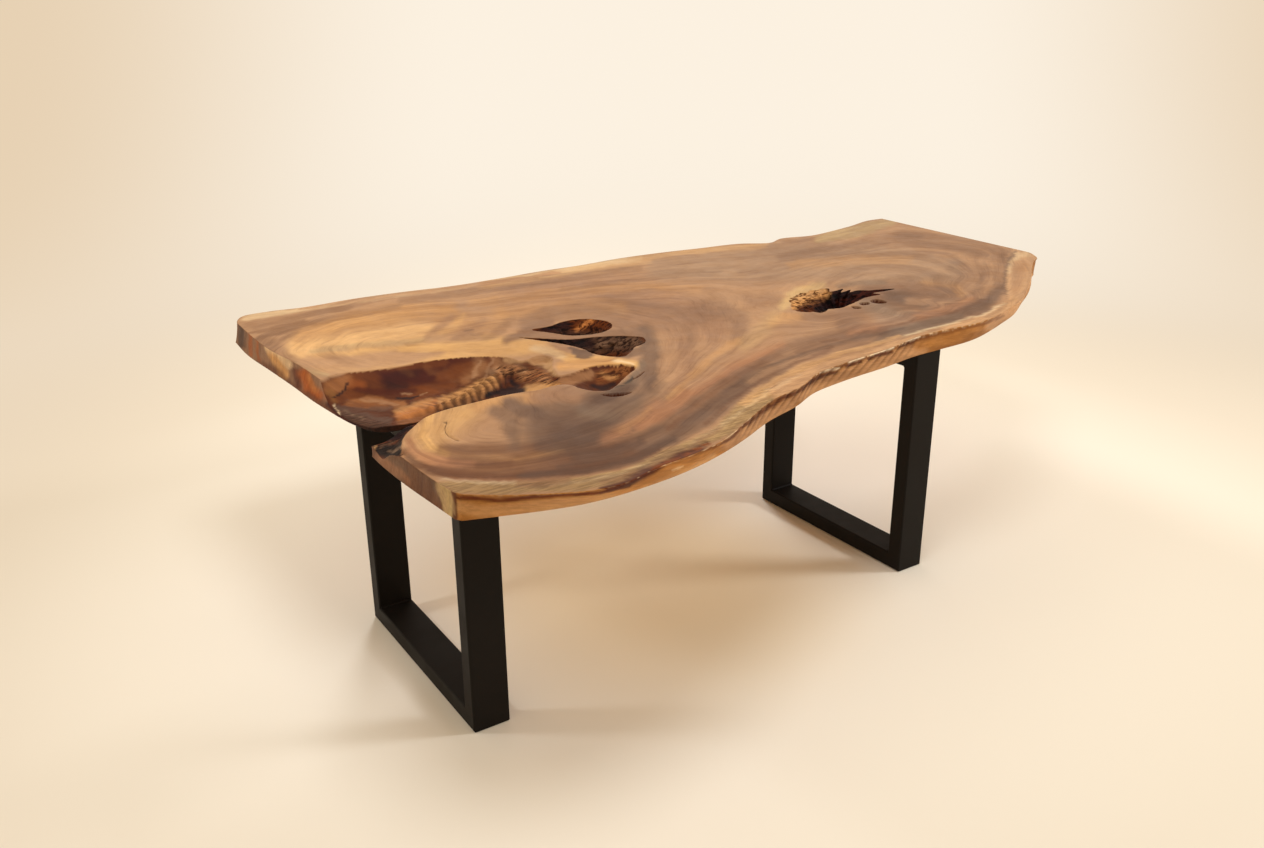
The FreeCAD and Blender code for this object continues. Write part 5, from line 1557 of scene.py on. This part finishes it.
def void_rings(name):
    """The rings of a void's wall, from the sheet's border down to the underside."""
    loop = void_top(name)
    out = normals_of(loop)
    middle = loop.mean(axis=0)
    ease = TORN_EASE if name == "right_void" else EASE
    border = loop + out * ease * 1.8
    rings = [np.column_stack([border, np.full(len(loop), TOP)])]
    for outwards, down in ARRIS:
        plan = loop + out * ease * (1 - outwards)
        rings.append(np.column_stack([plan, np.full(len(loop), TOP - ease * down)]))
    for level in range(1, VOID_ROWS + 1):
        share = level / VOID_ROWS
        z = (TOP - ease) * (1 - share) + BOTTOM * share
        plan = middle + (loop - middle) * (1 - VOID_CLOSING[name] * share**0.8)
        ring = np.column_stack([plan, np.full(len(loop), z)])
        torn = math.sin(math.pi * min(share + 0.15, 1)) ** 0.5
        relief = FIBRE_RELIEF * lumps(ring, 22, 3, stretch=FIBRE_STRETCH) * torn
        ring[:, :2] += out * relief[:, None]
        rings.append(ring)
    return rings


def recess_points():
    """The recess's rim, points beside the rim, and fine points within it."""
    rim = smooth_line(RECESS_RIM, RECESS_STEP)
    way = np.gradient(rim, axis=0)
    way /= np.linalg.norm(way, axis=1)[:, None]
    outside = rim + np.column_stack([-way[:, 1], way[:, 0]]) * RIM_MARGIN * 1.5
    fine = hex_points(rim.min(axis=0), rim.max(axis=0), RECESS_STEP)
    return rim, outside, fine[inside(fine, rim)]


def in_runs(line, keep):
    """The stretches of a line whose points are kept."""
    cuts = np.flatnonzero(np.diff(keep.astype(int))) + 1
    runs = np.split(np.arange(len(line)), cuts)
    return [line[run] for run in runs if keep[run[0]] and len(run) > 1]


def outside_voids(points, loops):
    """The points that lie in none of the voids' loops."""
    for loop in loops[1:]:
        points = points[~inside(points, loop)]
    return points


def add_sheet(skin, loops, lines, points, heights_at, zone):
    """Triangulate a sheet into the skin; return its border rings' numbers and its faces."""
    verts, triangles = sheet_triangles(loops, lines, points)
    numbers = skin.add(np.column_stack([verts, heights_at(verts)]), zone)
    sizes = np.cumsum([len(loop) for loop in loops])
    return np.split(numbers[: sizes[-1]], sizes[:-1]), numbers[triangles]


def upper_sheet(skin, loops):
    """Add the slab's whole upper surface, its border rings first."""
    outline = loops[0]
    border = np.vstack(loops)
    rim, outside, fine = recess_points()
    rim_runs = in_runs(rim, (gap_to(rim, border) > RIM_GAP) & inside(rim, outline))
    slits = [np.vstack([loop, loop[:1]]) for loop in SLIT_LOOPS]
    beside = normals_of(CRACK_LINE) * CRACK_HALF_WIDTH
    crack = np.vstack([CRACK_LINE - beside, CRACK_LINE, CRACK_LINE + beside])[1:-1]
    taken = np.vstack([border, *rim_runs, *slits, crack])
    outside = spaced_from(outside[inside(outside, outline)], taken, BESIDE_GAP)
    fine = spaced_from(fine[inside(fine, outline)], taken, RECESS_STEP * FINE_SHARE)
    boxes = [(loop.min(axis=0) - SLIT_ROOM, loop.max(axis=0) + SLIT_ROOM) for loop in SLIT_LOOPS]
    near_slits = np.vstack([hex_points(low, high, SLIT_STEP) for low, high in boxes])
    near_slits = spaced_from(near_slits, taken, SLIT_STEP * SLIT_SHARE)
    taken = np.vstack([taken, outside, fine, near_slits])
    flat = hex_points(outline.min(axis=0), outline.max(axis=0), FLAT_STEP)
    flat = spaced_from(flat[inside(flat, outline)], taken, FLAT_STEP * FLAT_SHARE)
    flat = outside_voids(flat, loops)
    near_slits = outside_voids(near_slits, loops)
    points = np.vstack([crack, outside, fine, near_slits, flat])
    rings, faces = add_sheet(skin, loops, rim_runs + slits, points, upper_heights, TOP_ZONE)
    skin.faces.append(faces)
    return rings


def underside_sheet(skin, loops):
    """Add the flat underside, its border rings first."""
    outline = loops[0]
    points = hex_points(outline.min(axis=0), outline.max(axis=0), UNDERSIDE_STEP)
    points = points[inside(points, outline)]
    points = spaced_from(points, np.vstack(loops), UNDERSIDE_STEP * UNDERSIDE_SHARE)
    points = outside_voids(points, loops)
    rings, faces = add_sheet(skin, loops, [], points, lambda verts: np.full(len(verts), BOTTOM),
                             UNDER_ZONE)
    skin.faces.append(faces[:, ::-1])
    return rings


def slab_skin():
    """The slab's whole skin: the upper sheet, the underside and the walls between them."""
    skin = Skin()
    rows, sides = outline_rows()
    walls = [outer_rows(rows, sides)] + [void_rings(name) for name in VOIDS]
    zones = [sides] + [VOID_ZONE] * len(VOIDS)
    tops = upper_sheet(skin, [rings[0][:, :2] for rings in walls])
    feet = underside_sheet(skin, [rings[-1][:, :2] for rings in walls])
    for number, (rings, zone, top, foot) in enumerate(zip(walls, zones, tops, feet)):
        numbers = [top]
        for level, ring in enumerate(rings[1:-1], start=1):
            numbers.append(skin.add(ring, TOP_ZONE if level <= LEVEL_RINGS else zone))
        numbers.append(foot)
        for upper, lower in zip(numbers, numbers[1:]):
            if number > 0:
                upper, lower = upper[::-1], lower[::-1]
            skin.strip(upper, lower)
    return skin


def put_attribute(mesh, name, kind, field, values):
    made = mesh.attributes.new(name, kind, "POINT")
    made.data.foreach_set(field, np.ascontiguousarray(values, np.float32).ravel())


def add_slab():
    skin = slab_skin()
    points = np.vstack(skin.points)
    zones = np.concatenate(skin.zones)
    faces = np.vstack(skin.faces)
    depths = ring_field()(points[:, :2])
    colours, raw = paint(points, zones, depths)
    mesh = bpy.data.meshes.new("live_edge_top")
    mesh.from_pydata((points * MM).tolist(), [], faces.tolist())
    mesh.shade_smooth()
    mesh.update()
    colours = np.column_stack([colours, np.ones(len(colours))])
    put_attribute(mesh, "wood_colour", "FLOAT_COLOR", "color", colours)
    put_attribute(mesh, "rawness", "FLOAT", "value", raw)
    put_attribute(mesh, "figure", "FLOAT_VECTOR", "vector", figure_of(points, zones, depths))
    mesh.materials.append(slab_wood())
    slab = new_object("live_edge_top", mesh)
    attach(slab, "root")
    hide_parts("live_edge_slab")


# ----------------------------------------------------------------- the scene
def dress_frame():
    """Give each CAD node the material of its slot."""
    made = {
        "black_powder_coat": powder_coat(),
        "zinc_plated_steel": zinc_plate(),
        "pad_plastic": pad_plastic(),
    }
    for part in frame["record"]["subparts"]:
        material = made.get(part["material_slot"])
        if material is not None:
            materials = frame["nodes"][part["node"]].data.materials
            materials.clear()
            materials.append(material)


add_camera()
add_lamps()
add_world()
add_floor()
add_slab()
dress_frame()
bpy.context.scene.view_settings.view_transform = "Standard"
